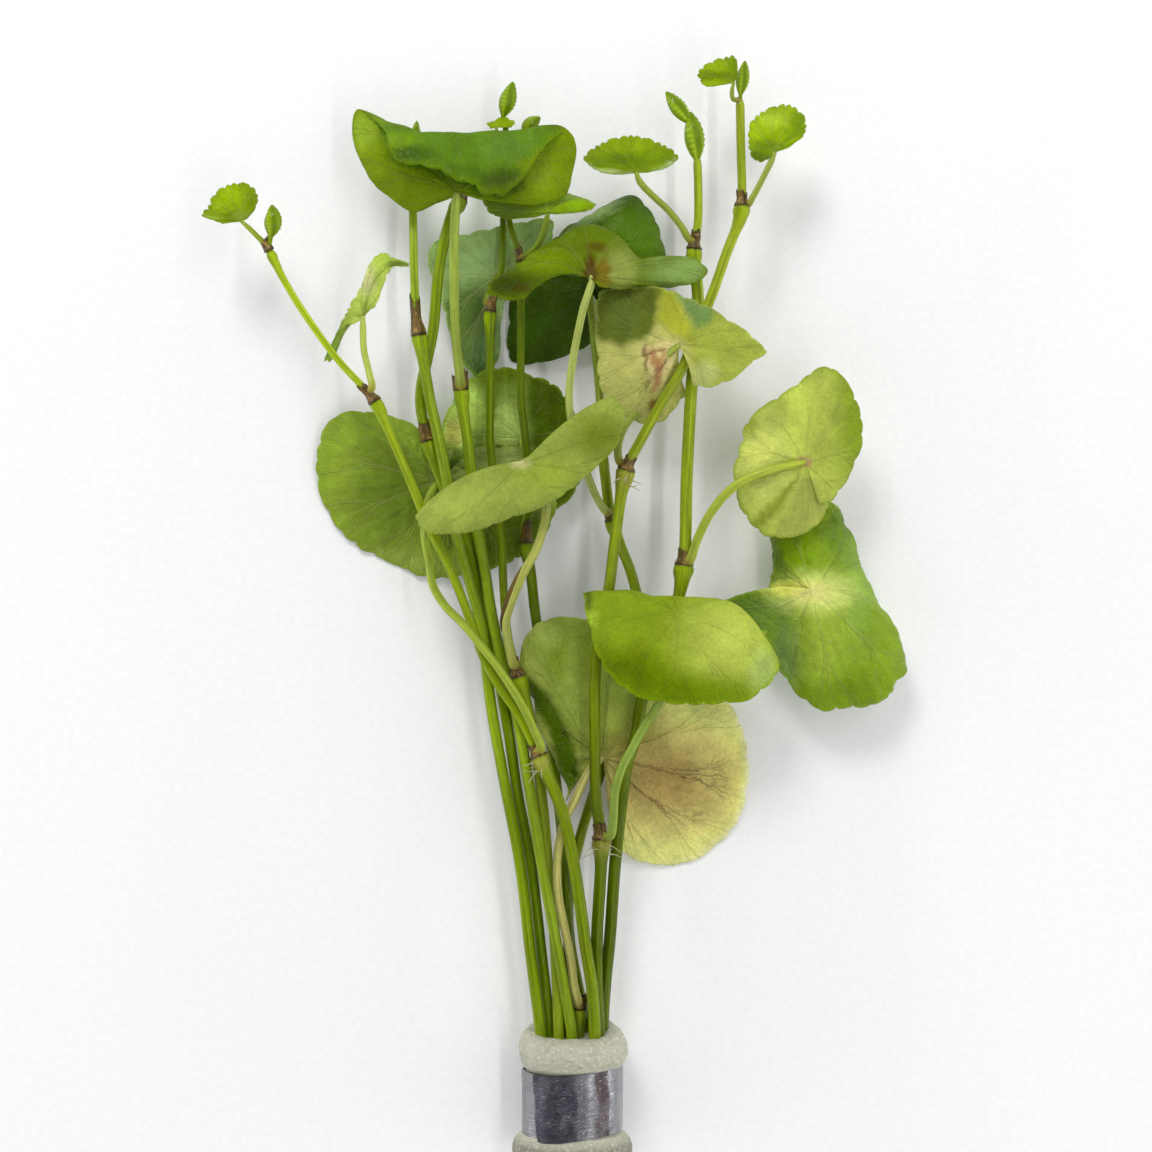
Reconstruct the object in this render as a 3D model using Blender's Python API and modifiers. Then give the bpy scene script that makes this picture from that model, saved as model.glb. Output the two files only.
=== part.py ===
"""Bunch of cut pennywort stems in a foam collar with a lead band, lying flat.

Metres, +Z up. +Y runs from the collar to the leaf tips, +X to the right.
Routes and outlines are given in plan units, as the bunch is seen from straight
above: x to the right, y down, and a height in millimetres.
"""
import math

import bmesh
import bpy
import numpy as np
from mathutils import Vector

MM = 0.001

# The plan view: how many units make a millimetre at the reference height,
# where its middle is, and the height of the eye above the reference height.
PLAN_UNITS_PER_MM = 5.5
PLAN_MIDDLE = 576.0
REFERENCE_HEIGHT = 10.0
EYE_HEIGHT = 450.0

# Moves the whole bunch so that its origin is under the middle of its bounds.
ORIGIN_SHIFT = (3.375, 6.455)

BLADE_THICKNESS = 0.5
BLADE_FLOOR = 0.25
STALK_GAP = 0.35
STALK_PUSH = 0.2

# How finely the pieces are cut: sides of a round piece, rings along a stem,
# and steps around and outward on a blade.
STEM_SIDES_LEVEL = 2
STALK_SIDES_LEVEL = 1
LONG_STEM_RINGS = 19
SHORT_STEM_RINGS = 5
BENT_LEAF_STEPS = (16, 4)
FLAT_LEAF_STEPS = (16, 3)
SMALL_LEAF_STEPS = (12, 2)
SMALL_LEAVES = (
    "leaf_far_left", "leaf_under_edge", "leaf_curled", "leaf_top_inner",
    "leaf_top_tip", "leaf_top_outer", "leaf_top_centre",
)

# A closed bud's thickness from its foot to its tip.
BUD_PROFILE = (0.45, 0.6, 1.0, 1.25, 1.2, 0.85, 0.3)
BUD_RADIUS = 1.15

# The collar and its band, in millimetres.
COLLAR_X = -0.6
COLLAR_Z = 9.3
CUT_END_Y = -106.5
SQUEEZE = 0.92
BAND_Y = (-101.0, -89.0)
BAND_RADIUS = 9.5
BAND_THICKNESS = 0.8
BAND_SIDES = 20
HOLE_HALF_WIDTH = 6.9
HOLE_HALF_HEIGHT = 5.0
HOLE_X = -0.8
HOLE_Z = 9.9

COLOURS = {
    "stem": (0.20, 0.32, 0.04, 1.0),
    "leaf": (0.16, 0.30, 0.02, 1.0),
    "foam": (0.62, 0.66, 0.58, 1.0),
    "lead": (0.30, 0.31, 0.33, 1.0),
}

# Each stem is given from the collar's mouth to its tip, with the plan spots of
# its swollen joints, and the closed buds at its tip.
STEMS = {
    # leftmost at the collar, its tip shows over the edge-on leaf
    "stem_left_tip": {
        "radius": 1,
        "joints": [(419, 336)],
        "route": [
            (541, 1040, 11), (530, 950, 11), (520, 865, 11), (504, 780, 11), (492, 712, 10.8),
            (486, 665, 10), (482, 630, 9.8), (470, 583, 10), (457, 535, 10.5), (447, 482, 11),
            (438, 436, 11.5), (430, 400, 12), (424, 365, 12.3), (419, 336, 12.5), (416, 315, 12.7),
            (414, 270, 12.6), (413, 215, 10.5), (413, 170, 5.5), (415, 138, 6.5),
        ],
        "buds": [
            [(415, 142, 6.4), (416, 133, 7), (416, 128, 7.2), (417, 121, 7.2)],
        ],
    },
    # second from the left, bends up behind the edge-on leaf
    "stem_top_left": {
        "radius": 1,
        "joints": [(428, 440), (459, 202)],
        "route": [
            (551, 1040, 9), (541, 950, 9.2), (531, 865, 9.5), (517, 790, 9.5), (509, 735, 9.2),
            (501, 690, 8.2), (494, 650, 7.8), (487, 610, 7.8), (478, 577, 8), (465, 535, 8.4),
            (449, 500, 8.5), (438, 472, 8.5), (428, 440, 8.8), (421, 410, 9.2), (421, 388, 9.3),
            (427, 360, 9.5), (433, 330, 10), (438, 276, 11.2), (443, 246, 11.5), (451, 218, 11),
            (459, 202, 9.5), (470, 172, 5.2), (486, 149, 5.3),
        ],
    },
    # carries the edge-on leaf
    "stem_edge_leaf": {
        "radius": 1,
        "joints": [(461, 390)],
        "route": [
            (572, 1038, 11.9), (562, 975, 12.9), (554, 930, 13.4), (542, 865, 13.5),
            (528, 780, 13), (518, 722, 10.8), (507, 680, 9.6), (499, 648, 10.2), (491, 610, 10.4),
            (485, 571, 10.3), (479, 538, 10.6), (474, 505, 10.9), (471, 474, 11.1),
            (467, 436, 11.5), (463, 411, 11.8), (461, 390, 12),
        ],
    },
    # carries the pale folded leaf and a bud at the middle of the top
    "stem_centre_tip": {
        "radius": 1,
        "joints": [(518, 676), (490, 312)],
        "route": [
            (559, 1040, 11.2), (555, 940, 10.6), (549, 880, 9.9), (544, 820, 9.8), (539, 775, 9.9),
            (533, 735, 9.8), (526, 702, 10.5), (518, 676, 11.6), (509, 642, 11.6),
            (505, 610, 11.2), (503, 577, 10.8), (502, 545, 10.5), (499, 510, 10.2),
            (493, 470, 10.2), (490, 440, 10.4), (490, 400, 10.5), (490, 350, 10.8), (490, 312, 11),
            (495, 292, 10.9), (501, 271, 10.4), (503, 230, 9), (503, 200, 7.1), (503, 165, 5.8),
            (505, 140, 6.5), (506, 122, 8),
        ],
        "buds": [
            [(501, 126, 8), (503, 117, 8.6), (508, 99, 9), (513, 82, 9)],
        ],
    },
    # runs up the middle to a small bud
    "stem_centre_right": {
        "radius": 0.95,
        "joints": [(526, 543), (521, 262)],
        "route": [
            (566, 1035, 8.7), (568, 950, 8.4), (566, 900, 7.9), (563, 850, 6.6), (557, 790, 5.2),
            (549, 730, 4.6), (541, 670, 4.6), (537, 627, 5.2), (534, 604, 6.8), (531, 575, 8.6),
            (526, 543, 9.2),
            (530, 505, 9.3), (529, 480, 9.4), (525, 436, 10), (521, 401, 10.5), (521, 340, 11),
            (521, 302, 11.4), (521, 262, 12), (517, 246, 12.3), (510, 225, 11.8), (509, 200, 9.9),
            (513, 180, 7.6),
            (517, 160, 6), (527, 136, 6.6),
        ],
        "buds": [
            [(527, 140, 6.6), (526, 131, 6.8), (531, 124, 7), (540, 117, 7.4)],
        ],
    },
    # lowest stem, passes under the others
    "stem_wave_leaf": {
        "radius": 0.95,
        "joints": [(612, 522)],
        "route": [
            (588, 1035, 6.6), (578, 985, 6.4), (570, 940, 6), (569, 895, 5.8), (579, 842, 5.6),
            (589, 808, 5), (604, 762, 4.2), (620, 712, 3.8), (632, 668, 3.3), (637, 632, 3.4),
            (638, 604, 5.4), (631, 573, 8.2), (612, 522, 9.5), (605, 475, 9), (602, 445, 8.6),
            (600, 410, 8.2),
        ],
    },
    # thickest upright stem at the right, runs to the top right tip
    "stem_top_right": {
        "radius": 1.1,
        "joints": [(601, 838), (627, 468), (741, 207)],
        "route": [
            (599, 1042, 10.7), (597, 985, 10.7), (597, 936, 10.8), (601, 865, 11.1),
            (601, 838, 11.5), (596, 800, 12), (595, 740, 12.6), (597, 650, 13.6), (609, 588, 14),
            (616, 532, 14.3), (627, 468, 15), (641, 440, 15.4), (661, 404, 15.6), (683, 367, 15.2),
            (694, 335, 15.2), (710, 300, 15), (727, 252, 14.2), (741, 214, 13.6), (742, 190, 13.4),
            (741, 150, 13.2), (740, 97, 13),
        ],
        "buds": [
            [(740, 101, 13), (741, 90, 13.4), (743, 76, 13.6), (745, 61, 13.4)],
        ],
    },
    # rightmost at the collar, runs to the paired buds
    "stem_right": {
        "radius": 1.05,
        "joints": [(683, 566), (694, 247)],
        "route": [
            (602, 1038, 8.2), (605, 987, 8.3), (610, 936, 8.6), (615, 865, 9), (622, 801, 9.6),
            (627, 765, 10), (636, 736, 10.4), (642, 700, 11), (655, 655, 12), (672, 620, 13),
            (683, 573, 14), (687, 470, 14), (692, 380, 13), (698, 300, 12.4), (694, 252, 12.6),
            (698, 222, 12.7), (698, 180, 12.9), (697, 155, 13),
        ],
        "buds": [
            [(697, 160, 13), (695, 144, 13.4), (693, 128, 13.8), (690, 112, 13.4)],
            [(692, 126, 13.6), (685, 117, 13.8), (676, 105, 14), (666, 92, 13.8)],
        ],
    },
    # crosses over the others to the far left tip
    "stem_crossing": {
        "radius": 1.1,
        "joints": [(539, 757), (374, 400), (268, 248)],
        "route": [
            (595, 1046, 13.3), (592, 988, 13.4), (586, 949, 13.5), (581, 911, 13.6),
            (574, 865, 13.8), (565, 822, 14), (558, 800, 14.1), (548, 777, 14.2), (539, 757, 14.2),
            (519, 716, 13.7), (499, 686, 13.6), (483, 656, 13.2), (473, 628, 13.3),
            (458, 588, 13.5), (446, 561, 13.8), (428, 525, 14.2), (410, 480, 14.6), (395, 445, 15),
            (374, 400, 15.5), (362, 386, 15.7), (338, 360, 16), (304, 313, 16.6), (285, 282, 17),
            (268, 248, 17.4),
        ],
        "buds": [
            [(268, 252, 17.4), (270, 240, 17.7), (272, 230, 18), (273, 218, 18.2), (272, 205, 18)],
        ],
    },
    # short end that carries the yellowing leaf
    "stem_short": {
        "radius": 1,
        "joints": [(579, 1008)],
        "route": [
            (579, 1035, 8.6), (579, 1008, 9.2),
        ],
    },
}

# Each leaf has a stalk, from its joint to the middle of its blade, and spokes:
# points on the rim, in order round the blade from one lip of the slit to the
# other, each with the point its surface bends towards on the way, if it bends.
# The crown lifts a flat blade half way out.
LEAVES = {
    "leaf_big_left": {
        "grows_from": "stem_crossing",
        "stalk_radius": 0.75,
        "stalk": [
            (541, 749, 15.4), (532, 726, 16.2), (520, 702, 16.6), (502, 673, 16.6),
            (483, 648, 16.2), (461, 622, 15.6), (446, 607, 14.9), (433, 586, 13.8),
            (429, 561, 12.4),
            (425, 540, 11.4), (425, 515, 9.8), (431, 494, 7.8), (440, 480, 6),
        ],
        "crown": 0.8,
        "spokes": [
            ((456, 448, 6.2), None),
            ((434, 446, 6.4), None),
            ((412, 424, 6), None),
            ((372, 412, 5), None),
            ((334, 415, 4), None),
            ((316, 450, 2.6), None),
            ((323, 503, 0.5), None),
            ((352, 541, 0.2), None),
            ((392, 564, 0.2), None),
            ((430, 580, 1.5), None),
            ((466, 572, 3.5), None),
            ((496, 535, 5), None),
            ((498, 490, 6.2), None),
            ((493, 452, 6.6), None),
        ],
    },
    "leaf_round_behind": {
        "grows_from": "stem_centre_right",
        "stalk_radius": 0.65,
        "stalk": [
            (521, 533, 8), (514, 505, 7), (508, 475, 5.4), (507, 455, 4.5),
        ],
        "crown": 0,
        "spokes": [
            ((520, 522, 4), None),
            ((553, 512, 3.6), None),
            ((578, 488, 3.6), None),
            ((584, 450, 4.4), None),
            ((575, 412, 5), None),
            ((556, 385, 5.5), None),
            ((530, 374, 5.8), None),
            ((500, 366, 6), None),
            ((470, 378, 5.8), None),
            ((449, 405, 5), None),
            ((440, 445, 3.4), None),
            ((445, 490, 2.6), None),
            ((475, 522, 2.8), None),
            ((500, 530, 3.6), None),
        ],
    },
    "leaf_yellowing": {
        "grows_from": "stem_short",
        "stalk_radius": 0.8,
        "stalk": [
            (577, 998, 11.2), (574, 985, 11.4), (571, 960, 11.4), (565, 930, 11.6), (559, 900, 12),
            (557, 870, 12.2), (559, 845, 11.8), (565, 820, 11.2), (575, 800, 10.8),
            (588, 773, 9.8), (603, 757, 8.2),
        ],
        "crown": 0,
        "spokes": [
            ((567, 801, 9.5), (578, 775, 8.6)),
            ((575, 778, 11), (535, 772, 7.2)),
            ((574, 755, 11.6), (515, 742, 7)),
            ((561, 723, 11.4), (500, 715, 7)),
            ((541, 690, 10.6), (510, 690, 7)),
            ((529, 655, 8.6), (560, 690, 7)),
            ((545, 620, 7.4), (570, 680, 7)),
            ((582, 617, 7), (590, 680, 7.4)),
            ((640, 628, 5.4), (630, 690, 8)),
            ((700, 665, 4.2), (660, 710, 8)),
            ((740, 720, 3), (680, 742, 7)),
            ((748, 770, 1.5), (680, 770, 6)),
            ((735, 825, 0.2), (670, 800, 5)),
            ((690, 863, 0.2), (645, 815, 5)),
            ((645, 864, 1.5), (622, 815, 5.5)),
            ((614, 848, 3.4), (608, 805, 6)),
        ],
    },
    "leaf_domed": {
        "grows_from": "stem_top_right",
        "stalk_radius": 0.8,
        "stalk": [
            (610, 836, 13), (613, 822, 13.6), (615, 791, 14.6), (621, 770, 14.9), (634, 745, 15.4),
            (647, 722, 15.8), (659, 703, 16.3), (669, 665, 17.6), (675, 637, 19.5),
            (678, 615, 21.5),
        ],
        "crown": 0,
        "spokes": [
            ((652, 650, 16.6), (662, 566, 20)),
            ((628, 640, 16.6), (634, 568, 20.4)),
            ((602, 622, 16.8), (612, 570, 21)),
            ((584, 598, 17.8), (620, 588, 24)),
            ((588, 632, 20), (625, 606, 26)),
            ((604, 668, 21), (640, 636, 27.5)),
            ((632, 692, 21.5), (655, 652, 28)),
            ((672, 704, 22), (675, 658, 28.5)),
            ((715, 706, 21.5), (700, 658, 28)),
            ((752, 699, 20), (725, 650, 27)),
            ((777, 665, 16.5), (752, 622, 24)),
            ((752, 640, 13.5), (752, 582, 20)),
            ((708, 645, 15.5), (716, 570, 20)),
            ((664, 650, 15.4), (675, 566, 19.4)),
        ],
    },
    "leaf_pale_right": {
        "grows_from": "stem_right",
        "stalk_radius": 0.8,
        "stalk": [
            (689, 561, 14.9), (697, 540, 15.6), (712, 511, 16.6), (735, 486, 17.5), (770, 470, 18),
            (805, 462, 17),
        ],
        "crown": 0.6,
        "spokes": [
            ((820, 506, 15.4), None),
            ((812, 528, 15), None),
            ((790, 539, 15), None),
            ((765, 526, 15.6), None),
            ((744, 497, 16), None),
            ((735, 462, 16.6), None),
            ((744, 422, 17), None),
            ((768, 393, 17), None),
            ((800, 373, 17), None),
            ((830, 367, 16.4), None),
            ((852, 392, 15.4), None),
            ((862, 430, 14.4), None),
            ((857, 470, 14), None),
            ((842, 498, 14), None),
            ((829, 513, 14.2), None),
        ],
    },
    "leaf_saddle": {
        "grows_from": "stem_right",
        "stalk_radius": 0.75,
        "stalk": [
            (668, 650, 12.6), (700, 655, 11), (745, 645, 9.4), (785, 615, 10.4), (812, 590, 13),
        ],
        "crown": 0,
        "spokes": [
            ((724, 602, 9.5), (770, 580, 15)),
            ((742, 624, 8), (775, 610, 13)),
            ((768, 648, 8), (788, 628, 13.5)),
            ((790, 684, 9), (802, 640, 15)),
            ((806, 708, 10), (810, 650, 16)),
            ((838, 714, 10.5), (828, 655, 16)),
            ((870, 707, 10), (850, 655, 16)),
            ((897, 692, 8), (878, 642, 15)),
            ((904, 671, 6), (905, 612, 12)),
            ((874, 640, 2), (915, 585, 7)),
            ((848, 585, 2), (900, 545, 7)),
            ((838, 530, 5), (880, 520, 9)),
            ((834, 504, 8), (845, 545, 12)),
            ((805, 506, 9), (808, 545, 14)),
            ((772, 522, 8), (786, 552, 13)),
            ((770, 560, 7), (790, 576, 12)),
            ((768, 596, 5.6), (788, 588, 10)),
        ],
    },
    "leaf_blotched": {
        "grows_from": "stem_top_right",
        "stalk_radius": 0.7,
        "stalk": [
            (620, 462, 14.2), (618, 448, 13.4), (624, 428, 12), (640, 408, 10.6), (659, 383, 12),
            (667, 362, 14.6), (671, 352, 16.4), (680, 345, 17.4),
        ],
        "crown": 0.3,
        "spokes": [
            ((693, 386, 17.5), (690, 366, 19)),
            ((712, 388, 18), None),
            ((740, 376, 18), None),
            ((767, 350, 16.4), None),
            ((742, 322, 18), None),
            ((708, 299, 18.6), None),
            ((668, 290, 17), None),
            ((630, 296, 14.5), None),
            ((606, 312, 12.5), None),
            ((598, 350, 11.2), None),
            ((601, 388, 10.6), None),
            ((616, 414, 10.3), None),
            ((645, 424, 10.3), None),
            ((660, 421, 10.5), (658, 388, 12)),
            ((672, 412, 10.8), (664, 370, 12.6)),
        ],
    },
    "leaf_wavy": {
        "grows_from": "stem_wave_leaf",
        "stalk_radius": 0.7,
        "stalk": [
            (607, 512, 10.8), (598, 500, 11.6), (584, 465, 12.2), (573, 430, 12.8),
            (569, 398, 14), (573, 360, 15.3), (583, 310, 16.2), (592, 278, 16.5),
            (595, 272, 16.6),
        ],
        "crown": 0,
        "spokes": [
            ((562, 279, 17), (578, 275, 17.2)),
            ((520, 301, 16.4), (552, 284, 18)),
            ((488, 290, 15.6), (540, 272, 18.6)),
            ((515, 264, 16), (550, 262, 18)),
            ((548, 246, 16.4), (572, 250, 18.4)),
            ((575, 246, 12.5), (582, 208, 18)),
            ((600, 262, 9.4), (600, 182, 16)),
            ((628, 275, 9.4), (634, 205, 15)),
            ((652, 282, 12), (652, 240, 15.5)),
            ((704, 269, 15.8), (655, 254, 17.2)),
            ((686, 283, 15.6), (648, 276, 17.6)),
            ((648, 288, 16), (625, 282, 17.8)),
            ((610, 288, 16.5), (604, 280, 17.2)),
        ],
    },
    "leaf_edge_on": {
        "grows_from": "stem_edge_leaf",
        "stalk_radius": 0.85,
        "stalk": [
            (460, 378, 14), (457, 350, 14.8), (455, 322, 15.4), (454, 261, 16.4), (455, 220, 17),
            (457, 192, 17.7),
        ],
        "crown": 0,
        "spokes": [
            ((447, 203, 17), (452, 198, 17.6)),
            ((425, 213, 16.2), (440, 202, 17.6)),
            ((395, 205, 15.2), (425, 190, 18)),
            ((370, 184, 14.2), (410, 176, 18)),
            ((352, 142, 13), (400, 155, 18)),
            ((357, 110, 12), (398, 130, 17)),
            ((376, 122, 15), (406, 114, 17)),
            ((385, 144, 18.6), (412, 98, 17.6)),
            ((400, 164, 20.6), (424, 89, 17.2)),
            ((430, 167, 21.4), (446, 87, 17)),
            ((456, 180, 21.8), (466, 81, 17)),
            ((480, 195, 21.8), (486, 72, 17)),
            ((506, 195, 21.6), (505, 70, 17)),
            ((526, 172, 20.6), (528, 81, 17)),
            ((548, 148, 19), (545, 92, 17.5)),
            ((568, 134, 17), (552, 104, 18)),
            ((577, 160, 15.4), (556, 104, 18.4)),
            ((566, 197, 15.4), (540, 160, 18.6)),
            ((530, 203, 16.6), (500, 196, 18.2)),
            ((485, 199, 17), (472, 197, 17.6)),
        ],
    },
    "leaf_under_edge": {
        "grows_from": "stem_centre_right",
        "stalk_radius": 0.6,
        "stalk": [
            (526, 256, 13.3), (535, 249, 14), (542, 236, 14.6), (548, 213, 15.6),
        ],
        "crown": 0,
        "spokes": [
            ((530, 217, 15.4), None),
            ((505, 219, 14.6), None),
            ((486, 210, 13.4), None),
            ((483, 196, 13.2), (515, 200, 14)),
            ((510, 200, 13.3), (525, 196, 13.9)),
            ((540, 200, 11.6), (543, 192, 13.3)),
            ((570, 194, 9.4), (565, 190, 12.4)),
            ((597, 205, 12), (575, 198, 14)),
            ((585, 212, 13.6), None),
            ((566, 213, 15), None),
        ],
    },
    "leaf_back_blue": {
        "grows_from": "stem_centre_tip",
        "stalk_radius": 0.7,
        "stalk": [
            (487, 303, 9.6), (490, 292, 8.4), (498, 275, 7),
        ],
        "crown": 1.2,
        "spokes": [
            ((505, 298, 5.4), None),
            ((498, 330, 4.2), None),
            ((496, 364, 3), None),
            ((486, 380, 2.4), None),
            ((470, 374, 2.6), None),
            ((455, 350, 3), None),
            ((442, 300, 4.4), None),
            ((428, 264, 5.6), None),
            ((430, 243, 6), None),
            ((470, 233, 6.4), None),
            ((512, 225, 6.3), None),
            ((552, 219, 6.6), None),
            ((553, 240, 6.4), None),
            ((535, 275, 5.6), None),
        ],
    },
    "leaf_back_dark": {
        "grows_from": "stem_wave_leaf",
        "stalk_radius": 0.7,
        "stalk": [
            (600, 402, 8.1), (597, 370, 7.6), (593, 330, 7), (590, 300, 6.4), (590, 290, 6),
        ],
        "crown": 0.6,
        "spokes": [
            ((600, 340, 4), None),
            ((560, 358, 2.4), None),
            ((512, 362, 0.2), None),
            ((507, 320, 2), None),
            ((514, 290, 2), None),
            ((532, 262, 2.4), None),
            ((560, 232, 3.6), None),
            ((590, 212, 8), None),
            ((612, 199, 10), None),
            ((634, 197, 11), None),
            ((652, 218, 10.4), None),
            ((660, 240, 9.4), None),
            ((666, 265, 8), None),
            ((650, 300, 6), None),
            ((618, 335, 4.6), None),
        ],
    },
    "leaf_folded": {
        "grows_from": "stem_centre_tip",
        "stalk_radius": 0.8,
        "stalk": [
            (513, 664, 13.4), (508, 642, 14.6), (506, 622, 15.4), (512, 600, 16.2), (524, 572, 17),
            (538, 545, 17.8), (546, 512, 18.6), (545, 492, 19.2), (536, 476, 20.2),
            (524, 462, 21.2),
        ],
        "crown": 0,
        "spokes": [
            ((590, 425, 14.5), (565, 420, 18)),
            ((560, 452, 14.8), (545, 440, 18.5)),
            ((522, 478, 15), (520, 455, 18.5)),
            ((470, 500, 15.6), (490, 470, 19)),
            ((421, 521, 19.5), (468, 474, 21.5)),
            ((424, 531, 21), (455, 495, 23.5)),
            ((470, 533, 22.4), (485, 505, 24.5)),
            ((510, 520, 22.8), (512, 500, 25)),
            ((545, 505, 22.6), (536, 492, 25)),
            ((590, 472, 21.6), (560, 478, 24)),
            ((618, 445, 20), (580, 462, 23)),
            ((626, 412, 18.6), (588, 436, 22)),
            ((614, 395, 17), (572, 408, 20.5)),
        ],
    },
    "leaf_curled": {
        "grows_from": "stem_crossing",
        "stalk_radius": 0.6,
        "stalk": [
            (372, 388, 16), (369, 372, 15.2), (364, 350, 14.4), (363, 328, 13.8), (366, 312, 14.2),
        ],
        "crown": 0.3,
        "spokes": [
            ((398, 264, 15.4), None),
            ((384, 254, 15.6), None),
            ((365, 270, 15.2), None),
            ((351, 297, 14.6), None),
            ((336, 330, 13.6), None),
            ((324, 361, 12.8), None),
        ],
    },
    "leaf_far_left": {
        "grows_from": "stem_crossing",
        "stalk_radius": 0.55,
        "stalk": [
            (264, 243, 17.6), (256, 235, 18), (249, 228, 18.2), (241, 221, 18.4),
        ],
        "crown": 0,
        "spokes": [
            ((222, 224, 18.2), None),
            ((201, 215, 17.4), None),
            ((208, 206, 16.8), None),
            ((213, 194, 16.2), None),
            ((231, 185, 15.8), None),
            ((250, 184, 16), None),
            ((258, 195, 16.6), None),
            ((256, 208, 17.4), None),
            ((248, 219, 18.2), None),
        ],
    },
    "leaf_top_inner": {
        "grows_from": "stem_right",
        "stalk_radius": 0.6,
        "stalk": [
            (690, 240, 13.3), (681, 226, 13.8), (668, 210, 14.4), (652, 195, 14.8),
            (640, 182, 15.2), (636, 172, 15.6),
        ],
        "crown": 0,
        "spokes": [
            ((622, 175, 15.8), None),
            ((600, 173, 15.4), None),
            ((583, 158, 14.6), None),
            ((592, 148, 13.6), None),
            ((612, 139, 12.8), None),
            ((636, 137, 12.4), None),
            ((658, 142, 12.8), None),
            ((679, 155, 14), None),
            ((668, 168, 15), None),
            ((650, 173, 15.6), None),
        ],
    },
    "leaf_top_tip": {
        "grows_from": "stem_top_right",
        "stalk_radius": 0.4,
        "stalk": [
            (733, 99, 14.4), (732, 92, 15.4), (735, 85, 16.2),
        ],
        "crown": 0,
        "spokes": [
            ((722, 87, 16), None),
            ((706, 85, 15.8), None),
            ((697, 73, 15.4), None),
            ((708, 63, 15), None),
            ((722, 58, 15), None),
            ((734, 55, 15.2), None),
            ((738, 66, 15.8), None),
            ((738, 77, 16.2), None),
        ],
    },
    "leaf_top_outer": {
        "grows_from": "stem_top_right",
        "stalk_radius": 0.55,
        "stalk": [
            (749, 207, 13.9), (762, 194, 14.4), (770, 177, 15), (774, 160, 15.4), (775, 152, 15.6),
        ],
        "crown": 0,
        "spokes": [
            ((768, 160, 15.8), None),
            ((758, 163, 15.6), (764, 156, 15.8)),
            ((750, 155, 15.2), None),
            ((748, 138, 14.6), None),
            ((750, 122, 13.8), None),
            ((770, 108, 13.2), None),
            ((790, 105, 13), None),
            ((805, 116, 13.4), None),
            ((805, 134, 14.2), None),
            ((790, 148, 15.2), None),
        ],
    },
    "leaf_top_centre": {
        "grows_from": "stem_centre_tip",
        "stalk_radius": 0.4,
        "stalk": [
            (498, 141, 9.6), (497, 133, 9.9), (496, 127, 10.4),
        ],
        "crown": 0,
        "spokes": [
            ((490, 129, 10.2), None),
            ((487, 124, 9.8), None),
            ((495, 119, 9.4), None),
            ((508, 118, 9.6), None),
            ((516, 122, 10.2), None),
            ((512, 128, 10.4), None),
        ],
    },
}


def clear_scene():
    for obj in list(bpy.data.objects):
        bpy.data.objects.remove(obj, do_unlink=True)
    for group in list(bpy.data.collections):
        bpy.data.collections.remove(group)


def place(point):
    """Plan point (x, y, height) as millimetres in the bunch's frame."""
    x, y, height = point
    scale = (EYE_HEIGHT + REFERENCE_HEIGHT - height) / EYE_HEIGHT / PLAN_UNITS_PER_MM
    return np.array([
        (x - PLAN_MIDDLE) * scale,
        (PLAN_MIDDLE - y) * scale,
        height,
    ])


def spaced(points):
    """Running parameter of a row of points, eased so close points stay smooth."""
    steps = np.linalg.norm(np.diff(points, axis=0), axis=1)
    return np.concatenate([[0.0], np.cumsum(np.sqrt(np.maximum(steps, 1e-6)))])


def smooth(points, knots, at):
    """Smooth curve through the points, read at the given parameters."""
    points = np.asarray(points, dtype=float)
    slopes = np.gradient(points, knots, axis=0)
    i = np.clip(np.searchsorted(knots, at, side="right") - 1, 0, len(knots) - 2)
    width = (knots[i + 1] - knots[i])[:, None]
    u = ((at - knots[i]) / (knots[i + 1] - knots[i]))[:, None]
    return (
        (2 * u**3 - 3 * u**2 + 1) * points[i]
        + (u**3 - 2 * u**2 + u) * width * slopes[i]
        + (3 * u**2 - 2 * u**3) * points[i + 1]
        + (u**3 - u**2) * width * slopes[i + 1]
    )


def resampled(points, count):
    """The smooth line through the points as evenly spaced samples."""
    points = np.asarray(points, dtype=float)
    knots = spaced(points)
    fine = smooth(points, knots, np.linspace(0.0, knots[-1], 400))
    run = np.concatenate([[0.0], np.cumsum(np.linalg.norm(np.diff(fine, axis=0), axis=1))])
    at = np.linspace(0.0, run[-1], count)
    return np.stack([np.interp(at, run, fine[:, k]) for k in range(3)], axis=1)


def add(obj, group):
    group.objects.link(obj)
    return obj


def paint(obj, colour):
    material = bpy.data.materials.new(obj.name)
    material.use_nodes = True
    shader = material.node_tree.nodes["Principled BSDF"]
    shader.inputs["Base Color"].default_value = colour
    shader.inputs["Roughness"].default_value = 0.5
    obj.data.materials.clear()
    obj.data.materials.append(material)


def shifted(points):
    offset = np.array([ORIGIN_SHIFT[0], ORIGIN_SHIFT[1], 0.0])
    return (np.asarray(points) + offset) * MM


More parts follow.
